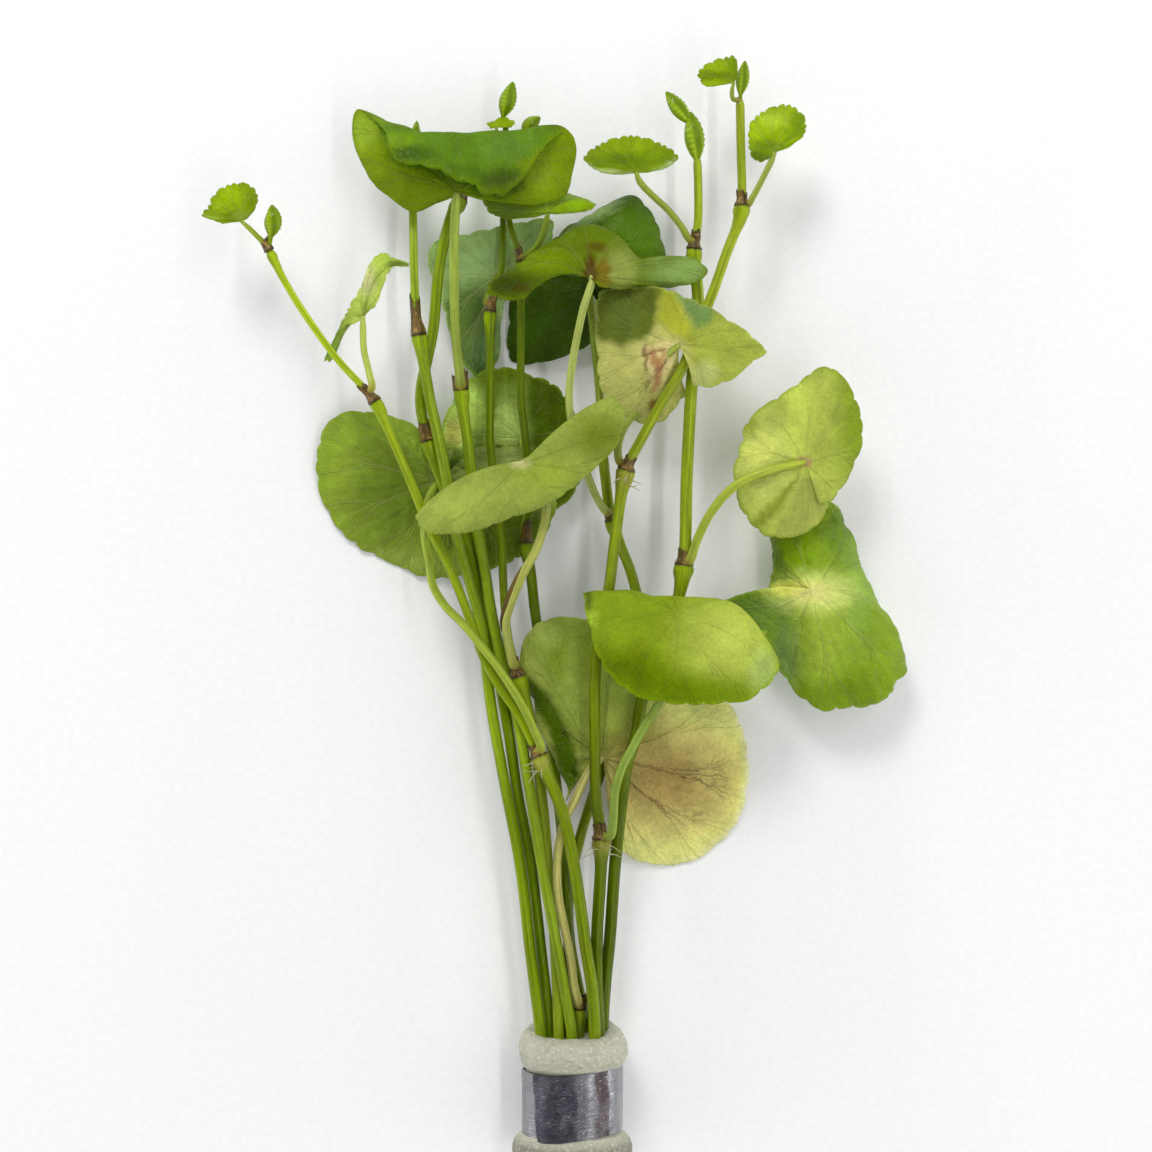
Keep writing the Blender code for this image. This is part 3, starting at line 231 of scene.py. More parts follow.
LEAVES = {
    "leaf_big_left": {
        "grows_from": "stem_crossing", "stalk_radius": 0.75, "crown": 0.8,
        "stalk": [
            (541, 749, 15.4), (532, 726, 16.2), (520, 702, 16.6), (502, 673, 16.6),
            (483, 648, 16.2), (461, 622, 15.6), (446, 607, 14.9), (433, 586, 13.8),
            (429, 561, 12.4), (425, 540, 11.4), (425, 515, 9.8), (431, 494, 7.8), (440, 480, 6),
        ],
        "rim": [
            (456, 448, 6.2), (434, 446, 6.4), (412, 424, 6), (372, 412, 5), (334, 415, 4),
            (316, 450, 2.6), (323, 503, 0.5), (352, 541, 0.2), (392, 564, 0.2), (430, 580, 1.5),
            (470, 575, 2.8), (502, 566, 3.4), (532, 549, 4.2), (550, 528, 4.8), (557, 502, 5.4),
            (546, 466, 5.8), (520, 446, 6), (478, 445, 6.2),
        ],
    },
    "leaf_round_behind": {
        "grows_from": "stem_centre_right", "stalk_radius": 0.65, "crown": 0,
        "stalk": [
            (524, 533, 8), (528, 505, 7.7), (528, 480, 7.5), (526, 458, 7.2), (523, 444, 6.2),
            (521, 437, 5.2),
        ],
        "rim": [
            (520, 522, 4), (553, 512, 3.6), (578, 488, 3.6), (584, 450, 4.4), (575, 412, 5),
            (556, 385, 5.5), (530, 374, 5.8), (500, 366, 6), (470, 378, 5.8), (449, 405, 5),
            (440, 445, 3.4), (445, 490, 2.6), (475, 522, 2.8), (500, 530, 3.6),
        ],
    },
    "leaf_yellowing": {
        "grows_from": "stem_short", "stalk_radius": 0.8, "crown": 0,
        "stalk": [
            (577, 998, 11.2), (574, 985, 11.4), (571, 960, 11.4), (565, 930, 11.6),
            (559, 900, 12), (557, 870, 12.2), (559, 845, 11.8), (565, 820, 11.2),
            (575, 800, 10.8), (588, 773, 9.8), (603, 757, 8.2),
        ],
        "rim": [
            (567, 801, 9.5), (575, 778, 11), (574, 755, 11.6), (561, 723, 11.4),
            (541, 690, 10.6), (526, 644, 8.4), (540, 621, 7.5), (582, 617, 7), (640, 628, 5.4),
            (700, 665, 4.2), (740, 720, 3), (748, 770, 1.5), (735, 825, 0.2), (690, 863, 0.2),
            (645, 864, 1.5), (614, 848, 3.4),
        ],
        "bends": [
            (578, 775, 8.6), (535, 772, 7.2), (515, 742, 7), (500, 715, 7), (510, 690, 7),
            (510, 690, 7), (560, 690, 7), (590, 680, 7.4), (630, 690, 8), (660, 710, 8),
            (680, 742, 7), (680, 770, 6), (670, 800, 5), (645, 815, 5), (622, 815, 5.5),
            (608, 805, 6),
        ],
    },
    "leaf_domed": {
        "grows_from": "stem_top_right", "stalk_radius": 0.8, "crown": 0,
        "stalk": [
            (610, 836, 13), (613, 822, 13.6), (615, 791, 14.6), (621, 770, 14.9),
            (634, 745, 15.4), (647, 722, 15.8), (659, 703, 16.3), (669, 665, 17.6),
            (675, 637, 19.5), (678, 615, 21.5),
        ],
        "rim": [
            (657, 652, 16.4), (628, 640, 16.6), (602, 622, 16.8), (583, 592, 18.4),
            (588, 632, 20), (604, 668, 21), (632, 692, 21.5), (672, 704, 22), (715, 706, 21.5),
            (752, 699, 20), (777, 665, 16.5), (752, 640, 13.5), (708, 645, 15.5),
            (658, 653, 15.6),
        ],
        "bends": [
            (667, 565, 20.2), (634, 568, 20.4), (606, 563, 21), (620, 588, 24), (625, 606, 26),
            (640, 636, 27.5), (655, 652, 28), (675, 658, 28.5), (700, 658, 28), (725, 650, 27),
            (752, 622, 24), (752, 582, 20), (716, 570, 20), (668, 565, 20),
        ],
    },
    "leaf_pale_right": {
        "grows_from": "stem_right", "stalk_radius": 0.8, "crown": 0.6,
        "stalk": [
            (689, 561, 14.9), (697, 540, 15.6), (712, 511, 16.6), (735, 486, 17.5),
            (770, 470, 18), (805, 462, 17),
        ],
        "rim": [
            (829, 505, 13.2), (826, 512, 13.8), (812, 529, 14.6), (796, 536, 15),
            (770, 538, 15.2), (753, 527, 15.6), (738, 504, 16), (733, 470, 16.6),
            (741, 442, 16.9), (745, 424, 17), (765, 404, 17), (794, 385, 17), (817, 368, 16.8),
            (831, 366, 16.4), (848, 384, 15.6), (860, 414, 14.8), (862, 446, 14.4),
            (850, 478, 14.2), (838, 496, 14.4), (829, 504, 15), (819, 504, 15.6),
        ],
    },
    "leaf_saddle": {
        "grows_from": "stem_right", "stalk_radius": 0.75, "crown": 0,
        "stalk": [
            (668, 650, 12.6), (700, 655, 11), (745, 645, 9.4), (785, 615, 10.4), (812, 590, 13),
        ],
        "rim": [
            (718, 603, 9.5), (730, 607, 9), (745, 626, 8), (768, 656, 8), (785, 678, 8.6),
            (793, 692, 9.2), (808, 706, 10), (828, 713, 10.4), (846, 709, 10.6), (866, 708, 10),
            (881, 702, 9.4), (892, 690, 8.6), (897, 680, 8.2), (904, 672, 7.4), (899, 655, 5),
            (874, 640, 2), (850, 590, 2), (838, 530, 5), (834, 504, 8), (805, 506, 9),
            (771, 520, 8), (770, 560, 7), (768, 596, 5.6),
        ],
        "bends": [
            (770, 580, 15), (772, 594, 14), (776, 610, 13), (788, 628, 13.5), (798, 636, 14.6),
            (803, 642, 15.2), (810, 650, 16), (822, 654, 16), (832, 655, 16), (850, 655, 16),
            (862, 650, 15.6), (876, 644, 15), (884, 634, 14.6), (892, 622, 13.6),
            (903, 600, 11.5), (906, 585, 7), (888, 545, 7), (870, 520, 9), (845, 545, 12),
            (808, 545, 14), (784, 552, 13), (788, 576, 12), (788, 588, 10),
        ],
    },
    "leaf_blotched": {
        "grows_from": "stem_top_right", "stalk_radius": 0.7, "crown": 0.3,
        "stalk": [
            (620, 462, 14.2), (618, 448, 13.4), (624, 428, 12), (640, 408, 10.6), (659, 383, 12),
            (667, 362, 14.6), (671, 352, 16.4), (680, 345, 17.4),
        ],
        "rim": [
            (693, 386, 17.5), (709, 388, 18), (721, 385, 18), (732, 381, 18), (746, 368.5, 17.6),
            (759, 359, 17), (768, 351, 16.4), (760, 343, 16.8), (747, 331, 17.6),
            (727, 317, 18.2), (703, 303, 18.6), (687, 297, 18.4), (666, 288, 17),
            (630, 286, 14.5), (598, 292, 12.6), (594, 322, 12), (597, 352, 11.2),
            (601, 388, 10.6), (616, 414, 10.3), (635, 422, 10.3), (648, 425, 10.3),
            (665, 421, 10.5), (676, 408, 10.8), (687, 395, 11),
        ],
        "bends": {0: (690, 366, 19), 21: (658, 388, 12), 22: (666, 370, 12.6), 23: (674, 366, 13)},
    },
    "leaf_wavy": {
        "grows_from": "stem_wave_leaf", "stalk_radius": 0.7, "crown": 0,
        "stalk": [
            (607, 512, 10.8), (598, 500, 11.6), (584, 465, 12.2), (573, 430, 12.8),
            (569, 398, 14), (573, 360, 15.3), (583, 310, 16.2), (592, 278, 16.5),
            (589, 277, 16.8),
        ],
        "rim": [
            (526, 298, 16.6), (519, 301, 16.4), (490, 296, 15.6), (487, 290, 15.6),
            (499, 278, 15.8), (515, 266, 16), (534, 249, 16.4), (552, 240, 16), (575, 246, 12.5),
            (600, 262, 9.4), (622, 268, 9.4), (640, 277, 11), (666, 268, 15), (693, 260, 15.8),
            (708, 271, 15.8), (699, 280, 15.6), (668, 288, 15.6), (645, 287, 16),
            (621, 291, 16.3), (600, 287, 16.6),
        ],
        "bends": [
            (566, 252, 18.2), (556, 262, 18.2), (540, 264, 18.6), (538, 258, 18.6),
            (545, 252, 18.6), (552, 246, 18.6), (562, 240, 18.6), (572, 230, 18.4),
            (580, 196, 18), (600, 185, 16), (627, 200, 15.4), (643, 232, 15.5), (650, 250, 17),
            (655, 252, 17.2), (655, 262, 17.2), (650, 272, 17.4), (640, 280, 17.6),
            (625, 282, 17.8), (608, 284, 17.2), (596, 283, 17),
        ],
    },
    "leaf_edge_on": {
        "grows_from": "stem_edge_leaf", "stalk_radius": 0.85, "crown": 0,
        "stalk": [
            (460, 378, 14), (457, 350, 14.8), (455, 322, 15.4), (454, 261, 16.4), (455, 220, 17),
            (457, 192, 17.7),
        ],
        "rim": [
            (450, 197, 17.2), (434, 203, 16.6), (414, 212, 15.8), (392, 199, 15.2),
            (373, 183, 14.2), (360, 160, 13.2), (353, 142, 12.6), (352, 127, 12.2),
            (354, 113, 12), (357.5, 109, 12.2), (372, 119, 14.6), (385, 132, 17.2),
            (390, 152, 19.6), (400, 164, 20.6), (414, 165, 21), (432, 169, 21.4),
            (456, 181, 21.8), (468, 184, 21.8), (480, 194, 21.8), (504, 196, 21.6),
            (515, 187, 21.2), (528, 173, 20.6), (540, 153, 19.8), (556, 137, 18),
            (570, 133, 16.6), (576, 148, 15.8), (574, 165, 15.3), (565, 196, 15.4),
            (546, 203, 16), (528, 205, 16.6), (485, 199, 17),
        ],
        "bends": [
            (452, 197, 17.6), (446, 199, 17.6), (432, 200, 17.8), (424, 190, 18), (410, 178, 18),
            (402, 162, 18), (399, 150, 17.8), (398, 141, 17.4), (397, 133, 17.2), (399, 127, 17),
            (406, 116, 17), (411, 104, 17.4), (417, 94, 17.3), (424, 89, 17.2), (435, 88, 17),
            (448, 87, 17), (466, 81, 17), (477, 79, 17), (486, 72, 17), (505, 69, 17),
            (516, 74, 17), (529, 80, 17), (539, 90, 17.4), (549, 99, 17.8), (555, 104, 18.2),
            (558, 108, 18.4), (555, 125, 18.5), (540, 165, 18.6), (520, 185, 18.4),
            (500, 197, 18.2), (472, 197, 17.6),
        ],
    },
    "leaf_under_edge": {
        "grows_from": "stem_centre_right", "stalk_radius": 0.6, "crown": 0,
        "stalk": [(526, 256, 13.3), (535, 249, 14), (542, 236, 14.6), (548, 213, 15.6)],
        "rim": [
            (530, 217, 15.4), (505, 219, 14.6), (486, 210, 13.4), (483, 196, 13.2),
            (510, 200, 13.3), (540, 200, 11.6), (570, 194, 9.4), (597, 205, 12),
            (585, 212, 13.6), (566, 213, 15),
        ],
        "bends": {3: (515, 200, 14), 4: (525, 196, 13.9), 5: (543, 192, 13.3), 6: (565, 190, 12.4), 7: (575, 198, 14)},
    },
    "leaf_back_blue": {
        "grows_from": "stem_centre_tip", "stalk_radius": 0.7, "crown": 1.2,
        "stalk": [(487, 303, 9.6), (490, 292, 8.4), (498, 275, 7)],
        "rim": [
            (505, 298, 5.4), (498, 330, 4.2), (496, 364, 3), (486, 380, 2.4), (470, 374, 2.6),
            (455, 350, 3), (442, 300, 4.4), (428, 264, 5.6), (430, 243, 6), (470, 233, 6.4),
            (512, 225, 6.3), (552, 219, 6.6), (553, 240, 6.4), (535, 275, 5.6),
        ],
    },
    "leaf_back_dark": {
        "grows_from": "stem_wave_leaf", "stalk_radius": 0.7, "crown": 0.6,
        "stalk": [
            (600, 402, 8.1), (597, 370, 7.6), (593, 330, 7), (590, 300, 6.4), (590, 290, 6),
        ],
        "rim": [
            (600, 340, 4), (560, 358, 2.4), (512, 362, 0.2), (507, 320, 2), (514, 290, 2),
            (532, 262, 2.4), (560, 232, 3.6), (590, 212, 6.4), (612, 199, 6.4), (634, 197, 6.4),
            (652, 218, 6.6), (660, 240, 6.8), (666, 265, 7), (650, 300, 6), (618, 335, 4.6),
        ],
        "bends": {7: (590, 234, 10.6), 8: (606, 224, 12.4), 9: (622, 223, 13.2), 10: (636, 238, 12.8), 11: (640, 254, 11.6), 12: (645, 272, 9.8)},
    },
    "leaf_folded": {
        "grows_from": "stem_centre_tip", "stalk_radius": 0.8, "crown": 0,
        "stalk": [
            (513, 664, 13.4), (508, 642, 14.6), (506, 622, 15.4), (512, 600, 16.2),
            (524, 572, 17), (538, 545, 17.8), (546, 512, 18.6), (545, 492, 19.2),
            (536, 476, 20.2), (524, 462, 21.2),
        ],
        "rim": [
            (590, 425, 14.5), (560, 452, 14.8), (522, 478, 15), (470, 500, 15.6),
            (418, 517, 19.5), (424, 531, 21), (470, 533, 22.4), (510, 520, 22.8),
            (545, 505, 22.6), (590, 472, 21.6), (618, 445, 20), (626, 412, 18.6), (614, 395, 17),
        ],
        "bends": [
            (565, 420, 18), (545, 440, 18.5), (520, 455, 18.5), (490, 470, 19), (452, 471, 21.5),
            (455, 495, 23.5), (485, 505, 24.5), (512, 500, 25), (536, 492, 25), (560, 478, 24),
            (580, 462, 23), (588, 436, 22), (572, 408, 20.5),
        ],
    },
    "leaf_curled": {
        "grows_from": "stem_crossing", "stalk_radius": 0.6, "crown": 0.3,
        "stalk": [
            (372, 388, 16), (369, 372, 15.2), (364, 350, 14.4), (363, 328, 13.8), (363, 316, 14),
        ],
        "rim": [
            (368, 309, 14.4), (377, 303, 14.6), (381, 291, 15), (384, 280, 15.4),
            (389, 269, 15.8), (395, 266, 16), (403, 267, 15.8), (411, 266, 15.6),
            (404, 262, 16.2), (394, 257.5, 16.6), (384, 252, 16.8), (374, 257, 16.4),
            (367, 269, 15.8), (362, 284, 15.2), (352, 301, 14.6), (343, 319, 13.6),
            (334, 338, 12.9), (324, 363, 11.8), (330, 362, 11.8), (340, 344, 12.8),
            (346, 325, 13.6), (353, 325, 13.8), (359, 322, 14),
        ],
        "bends": {3: (376, 300, 15), 4: (377, 286, 15.2), 5: (376, 270, 15.8), 6: (375, 256, 16.2), 7: (375, 251, 16.6), 8: (373, 252, 16.8), 9: (371, 260, 17), 10: (367, 268, 17), 15: (352, 312, 14.2), 16: (346, 318, 13.8), 17: (343, 320, 13.6), 18: (344, 322, 13.4), 19: (346, 324, 13.4), 20: (352, 320, 14), 21: (357, 320, 14), 22: (361, 319, 14)},
    },
    "leaf_far_left": {
        "grows_from": "stem_crossing", "stalk_radius": 0.451, "crown": 0,
        "stalk": [(264, 243, 17.6), (256, 235, 18), (249, 228, 18.2), (241, 221, 18.4)],
        "rim": [
            (222, 224, 18.2), (201, 215, 17.4), (208, 206, 16.8), (213, 194, 16.2),
            (231, 185, 15.8), (250, 184, 16), (258, 195, 16.6), (256, 208, 17.4),
            (248, 219, 18.2),
        ],
    },
    "leaf_top_inner": {
        "grows_from": "stem_right", "stalk_radius": 0.6, "crown": 0,
        "stalk": [
            (690, 240, 13.3), (681, 226, 13.8), (668, 210, 14.4), (652, 195, 14.8),
            (640, 182, 15.2), (636, 172, 15.6),
        ],
        "rim": [
            (622, 175, 15.8), (600, 173, 15.4), (583, 158, 14.6), (592, 148, 13.6),
            (612, 139, 12.8), (636, 137, 12.4), (658, 142, 12.8), (679, 155, 14), (668, 168, 15),
            (650, 173, 15.6),
        ],
    },
    "leaf_top_tip": {
        "grows_from": "stem_top_right", "stalk_radius": 0.4, "crown": 0,
        "stalk": [(733, 99, 14.4), (732, 91, 15.4), (734, 82, 16.2)],
        "rim": [
            (720, 83, 16), (706, 87, 15.8), (697, 73, 15.4), (708, 63, 15), (722, 58, 15),
            (734, 55, 15.2), (738, 66, 15.8), (738, 77, 16.2),
        ],
    },
    "leaf_top_outer": {
        "grows_from": "stem_top_right", "stalk_radius": 0.55, "crown": 0,
        "stalk": [
            (748, 205, 13.9), (753, 197, 14.3), (760, 184, 14.8), (767, 170, 15.2),
            (772, 160, 15.5), (775, 152, 15.6),
        ],
        "rim": [
            (768, 160, 15.8), (758, 163, 15.6), (750, 155, 15.2), (748, 138, 14.6),
            (750, 122, 13.8), (770, 108, 13.2), (790, 105, 13), (805, 116, 13.4),
            (805, 134, 14.2), (790, 148, 15.2),
        ],
        "bends": {1: (764, 156, 15.8)},
    },
    "leaf_top_centre": {
        "grows_from": "stem_centre_tip", "stalk_radius": 0.4, "crown": 0,
        "stalk": [(498, 141, 9.6), (497, 133, 9.9), (496, 127, 10.4)],
        "rim": [
            (490, 129, 10.2), (487, 124, 9.8), (495, 119, 9.4), (508, 118, 9.6),
            (516, 122, 10.2), (512, 128, 10.4),
        ],
    },
}

# How the light of this scene turns a surface colour into the colour it shows.
SKIN_GAIN = 1.35
SKIN_HAZE = 0.006

# Colours as the bunch shows them in soft white light.
SWELLING = srgb(124, 146, 16)
ROOTED = srgb(142, 138, 66)
HUSK = srgb(146, 116, 44)
HUSK_DARK = srgb(46, 32, 6)
ROOTLET = srgb(196, 190, 150)
DEEP = srgb(58, 82, 4)
CREAM = srgb(226, 222, 152)
STALK = srgb(134, 152, 58)

# How much slimmer a stem gets above each of its joints.
UPPER_SLIMMER = (0.24, 0.24, 0.24)
OWN_SLIMMER = {"stem_top_right": (0.08, 0.1, 0.12), "stem_right": (0.02, 0.3)}

# The colour of each stem low down and near its tip.
STEM_TINTS = {
    "stem_left_tip": (srgb(106, 126, 16), srgb(126, 147, 40)),
    "stem_top_left": (srgb(84, 106, 8), srgb(116, 136, 30)),
    "stem_edge_leaf": (srgb(110, 130, 28), srgb(122, 144, 28)),
    "stem_centre_tip": (srgb(116, 132, 30), srgb(88, 108, 8)),
    "stem_centre_right": (srgb(86, 102, 14), srgb(84, 102, 6)),
    "stem_wave_leaf": (srgb(104, 120, 26), srgb(116, 134, 28)),
    "stem_top_right": (srgb(78, 94, 4), srgb(130, 144, 36)),
    "stem_right": (srgb(72, 88, 2), srgb(136, 154, 38)),
    "stem_crossing": (srgb(100, 118, 14), srgb(140, 160, 34)),
    "stem_short": (srgb(104, 120, 40), srgb(104, 120, 40)),
}

# How each leaf looks. "top" is the colour of the side that faces up where the
# stalk joins, "under" of the other side. "veins" says how much the veins show
# and "ridged" that they stand out on the side above, which is then the lower
# side of the leaf. The lift value is painted light: it brightens a leaf to make
# up for the shade it sits in, and darkens leaf_wavy. "calm" flattens the rim's
# waves and "puffed" the swollen cells. Patches are laid on in order: an oval (x,
# y, half width, half height) or an outline in plan units, the softness of its
# edge, a colour and how strongly it covers. Many are the leaf's own tones; the
# painted light, shade, shadow and sheen among them are marked where they stand.
LOOKS = {
    "leaf_big_left": {
        "top": srgb(132, 156, 52), "under": srgb(140, 158, 72), "rim": srgb(138, 162, 44),
        "stalk": srgb(140, 158, 56), "veins": 0.36, "puffed": 1.7, "quilted": -0.18,
        "patches": [
            # partly the leaf's paler tone, partly painted light that lifts the strip shaded by the stems and the
            # folded leaf above
            ([(430, 444), (530, 444), (560, 500), (540, 520), (430, 500)], 4,
             srgb(156, 172, 92), 0.85),
            # painted shadow: a dark line along this leaf's upper edge
            ([(434, 442), (524, 442), (524, 446.6), (434, 446.6)], 0.8,
             srgb(58, 72, 10), 0.85),
            ((400, 490, 44, 40), 0.6, srgb(98, 120, 34), 0.8),
            ((398, 562, 60, 14), 0.5, srgb(148, 170, 70), 0.8),
            ((340, 470, 16, 44), 0.6, srgb(146, 170, 56), 0.7),
            # painted shade under the stems that cross this part
            ((500, 530, 60, 36), 0.5, srgb(84, 104, 20), 0.8),
        ],
    },
    "leaf_round_behind": {
        "top": srgb(128, 152, 64), "under": srgb(140, 158, 72), "rim": srgb(122, 148, 36),
        "stalk": STALK, "veins": 0.16, "painted_lift": 1.2, "quilted": -0.08,
        "patches": [
            # the next three pale patches are partly the leaf's own pale tone, partly painted light against the shade
            # of the stems above it
            ((462, 412, 24, 32), 0.4, srgb(184, 208, 106), 0.95),
            ((504, 424, 16, 24), 0.4, srgb(176, 194, 110), 0.9),
            ((454, 434, 16, 14), 0.5, srgb(206, 228, 116), 0.9),
            ((490, 404, 6, 20), 0.6, srgb(92, 114, 10), 0.8),
            ((500, 372, 34, 12), 0.6, srgb(92, 112, 14), 0.85),
            ([(526, 356), (566, 366), (606, 430), (596, 480), (560, 530), (528, 524), (532, 440)],
             8, srgb(70, 90, 4), 0.95),
        ],
    },
    "leaf_yellowing": {
        "top": srgb(190, 186, 116), "under": srgb(160, 166, 90), "rim": srgb(226, 222, 160),
        "stalk": srgb(176, 172, 100), "veins": 0.14, "ridged": True, "painted_lift": 1.55,
        "patches": [
            ([(505, 640), (545, 600), (630, 600), (662, 640), (655, 700), (618, 760), (575, 800)],
             26, srgb(118, 134, 54), 0.95),
            # painted shade in the folds of the green half: the next two dark ovals
            ((556, 650, 10, 26), 0.7, srgb(96, 116, 22), 0.7),
            ((592, 650, 12, 30), 0.7, srgb(100, 116, 30), 0.6),
            ((548, 636, 14, 12), 0.7, srgb(150, 166, 84), 0.6),
            ((632, 736, 28, 18), 0.7, srgb(116, 122, 46), 0.85),
            ((618, 700, 20, 40), 0.6, srgb(146, 160, 72), 0.6),
            ((664, 780, 62, 44), 0.8, srgb(136, 114, 66), 0.9),
            ((706, 762, 14, 20), 0.7, srgb(176, 166, 104), 0.7),
            # painted shade: a dark line along a crease of the folded green half
            ([(528, 676), (548, 694), (563, 722), (575, 752), (579, 776), (566, 806), (560, 780),
              (548, 730), (530, 700)], 5, srgb(54, 76, 2), 0.95),
        ],
        "browned": (676, 782, 44, 34), "rim_area": (700, 770, 90, 100),
    },
    "leaf_domed": {
        "top": srgb(138, 160, 38), "under": srgb(150, 168, 80), "rim": srgb(144, 172, 24),
        "stalk": srgb(124, 146, 62), "veins": 0.02, "puffed": 0.35, "skin": "dull",
        "patches": [
            ((730, 640, 44, 42), 0.8, srgb(188, 198, 92), 0.9),
            ((616, 676, 50, 26), 0.7, srgb(98, 120, 2), 0.9),
            ((690, 694, 70, 16), 0.7, srgb(112, 140, 2), 0.8),
            ((764, 672, 14, 22), 0.7, srgb(170, 190, 110), 0.7),
            ((586, 600, 5, 14), 0.7, srgb(84, 104, 40), 0.8),
            ((585, 618, 14, 8), 0.4, srgb(168, 196, 62), 0.95),
        ],
    },
    "leaf_pale_right": {
        "top": srgb(174, 186, 82), "under": srgb(130, 150, 50), "rim": srgb(132, 154, 40),
        "stalk": srgb(150, 164, 60), "veins": 0.15, "ridged": True, "puffed": 0.7,
        "patches": [
            ((762, 462, 30, 40), 0.7, srgb(206, 212, 118), 0.8),
            ((800, 420, 14, 50), 0.7, srgb(192, 204, 94), 0.7),
            ((856, 420, 18, 60), 0.8, srgb(134, 156, 38), 0.9),
            # painted shade in the valley of the fold
            ([(799, 474), (793, 492), (774, 514), (758, 529), (750, 524), (768, 506), (786, 488)],
             4, srgb(132, 142, 46), 0.85),
            ([(802, 476), (815, 480), (817, 500), (826, 514), (800, 534), (772, 540), (786, 512)],
             5, srgb(160, 166, 84), 0.8),
            ((747, 424, 10, 14), 0.6, srgb(142, 154, 56), 0.7),
            ((804, 461, 7, 5), 0.6, srgb(170, 138, 100), 0.9),
        ],
    },
    "leaf_saddle": {
        "top": srgb(128, 154, 34), "under": srgb(130, 152, 60), "rim": srgb(126, 152, 20),
        "stalk": STALK, "veins": 0.3, "painted_lift": 1.16, "skin": "wet", "quilted": -0.2,
        "sunk": 0.6,
        "patches": [
            ((870, 690, 34, 24), 0.7, srgb(116, 142, 2), 0.9),
            ((818, 700, 36, 18), 0.7, srgb(112, 138, 12), 0.8),
            ((756, 614, 30, 22), 0.6, srgb(102, 132, 56), 0.8),
            ((788, 652, 14, 34), 0.6, srgb(104, 132, 76), 0.8),
            ((800, 555, 20, 22), 0.7, srgb(120, 152, 6), 0.8),
            ((842, 530, 18, 26), 0.6, srgb(90, 120, 34), 0.8),
            ((858, 590, 14, 50), 0.7, srgb(126, 158, 62), 0.8),
            ((822, 636, 26, 38), 0.8, srgb(148, 168, 60), 0.8),
            ((812, 592, 36, 17), 0.8, srgb(214, 220, 132), 0.95),
            ((782, 588, 20, 6), 0.7, srgb(210, 214, 104), 0.8),
        ],
    },
    "leaf_blotched": {
        "top": srgb(174, 174, 102), "under": srgb(168, 176, 92), "rim": srgb(160, 172, 84),
        "stalk": srgb(140, 152, 66), "veins": 0.08, "puffed": 0.8, "painted_lift": 1.2,
        "patches": [
            # painted shade: the dark leaf behind seen through this thin one, over the next two patches
            ([(588, 336), (600, 280), (668, 280), (658, 302), (656, 324), (646, 336), (620, 344)],
             6, srgb(78, 92, 22), 0.92),
            ((622, 316, 16, 22), 0.7, srgb(92, 106, 46), 0.8),
            ([(660, 284), (676, 292), (690, 320), (704, 340), (690, 344), (666, 330), (656, 318)],
             6, srgb(160, 166, 48), 0.9),
            ([(690, 318), (712, 300), (775, 350), (742, 384), (704, 392), (690, 360)],
             6, srgb(150, 160, 66), 0.95),
            ([(672, 286), (716, 298), (712, 322), (698, 330), (686, 312)], 5,
             srgb(106, 136, 76), 0.9),
            ((706, 374, 12, 12), 0.7, srgb(172, 180, 116), 0.8),
            ([(640, 346), (660, 342), (678, 342), (676, 362), (666, 380), (656, 390), (644, 366)],
             5, srgb(200, 188, 134), 0.9),
            ([(647, 350), (652, 348), (664, 366), (660, 384), (650, 392), (654, 372)], 3,
             srgb(158, 108, 70), 0.8),
            ([(660, 350), (668, 350), (664, 362), (656, 372)], 3, srgb(166, 120, 80), 0.7),
            ((645, 358, 2.4, 14), 0.5, srgb(96, 74, 34), 0.7),
            ((655, 407, 7, 8), 0.6, srgb(116, 84, 36), 0.8),
        ],
        "browned": (655, 366, 12, 24),
    },
    "leaf_wavy": {
        "top": srgb(110, 134, 4), "under": srgb(112, 134, 30), "rim": srgb(124, 150, 16),
        "stalk": srgb(156, 168, 88), "veins": 0.12, "puffed": 0.9, "calm": 1.1, "painted_lift": 0.82,
        "patches": [
            ((548, 262, 34, 10), 0.8, srgb(138, 166, 14), 0.8),
            # painted shade on the underside of the left lobe
            ((508, 284, 28, 12), 0.7, srgb(62, 78, 0), 0.88),
            ((522, 288, 7, 4), 0.7, srgb(84, 74, 6), 0.7),
            ((590, 240, 30, 10), 0.8, srgb(108, 134, 4), 0.7),
            ((620, 268, 17, 21), 0.6, srgb(158, 172, 82), 0.95),
            # painted sheen: a pale bluish reflection on the right tip
            ((682, 272, 34, 16), 0.7, srgb(148, 178, 96), 0.95),
            ((597, 247, 10, 5), 0.6, srgb(104, 84, 10), 0.8),
            ((591, 270, 7, 15), 0.5, srgb(92, 48, 14), 0.9),
            ((604, 272, 6, 14), 0.6, srgb(134, 108, 18), 0.85),
        ],
    },
    "leaf_edge_on": {
        "top": srgb(118, 142, 2), "under": srgb(94, 126, 24), "rim": srgb(110, 136, 6),
        "stalk": srgb(134, 150, 62), "veins": 0.12, "calm": 0.25, "puffed": 0.6,
        "patches": [
            ((412, 196, 40, 18), 0.7, srgb(104, 126, 0), 0.9),
            ((365, 130, 16, 20), 0.7, srgb(152, 178, 50), 0.8),
            ([(378, 122), (390, 130), (564, 128), (556, 140), (536, 158), (527, 172), (514, 188),
              (504, 197), (475, 195), (452, 180), (434, 170), (403, 165), (395, 160), (384, 142)],
             4, srgb(94, 132, 28), 0.95),
            ((398, 140, 20, 7), 0.6, srgb(118, 152, 24), 0.9),
            # painted shade along and below the folded flap's lower edge: the next three patches
            ((414, 156, 24, 9), 0.6, srgb(66, 98, 2), 0.95),
            ((455, 172, 24, 9), 0.7, srgb(74, 110, 10), 0.8),
            ((502, 183, 26, 14), 0.5, srgb(60, 80, 2), 0.97),
            # painted sheen: a bluish reflection on the flap
            ((505, 148, 24, 12), 0.8, srgb(104, 142, 50), 0.6),
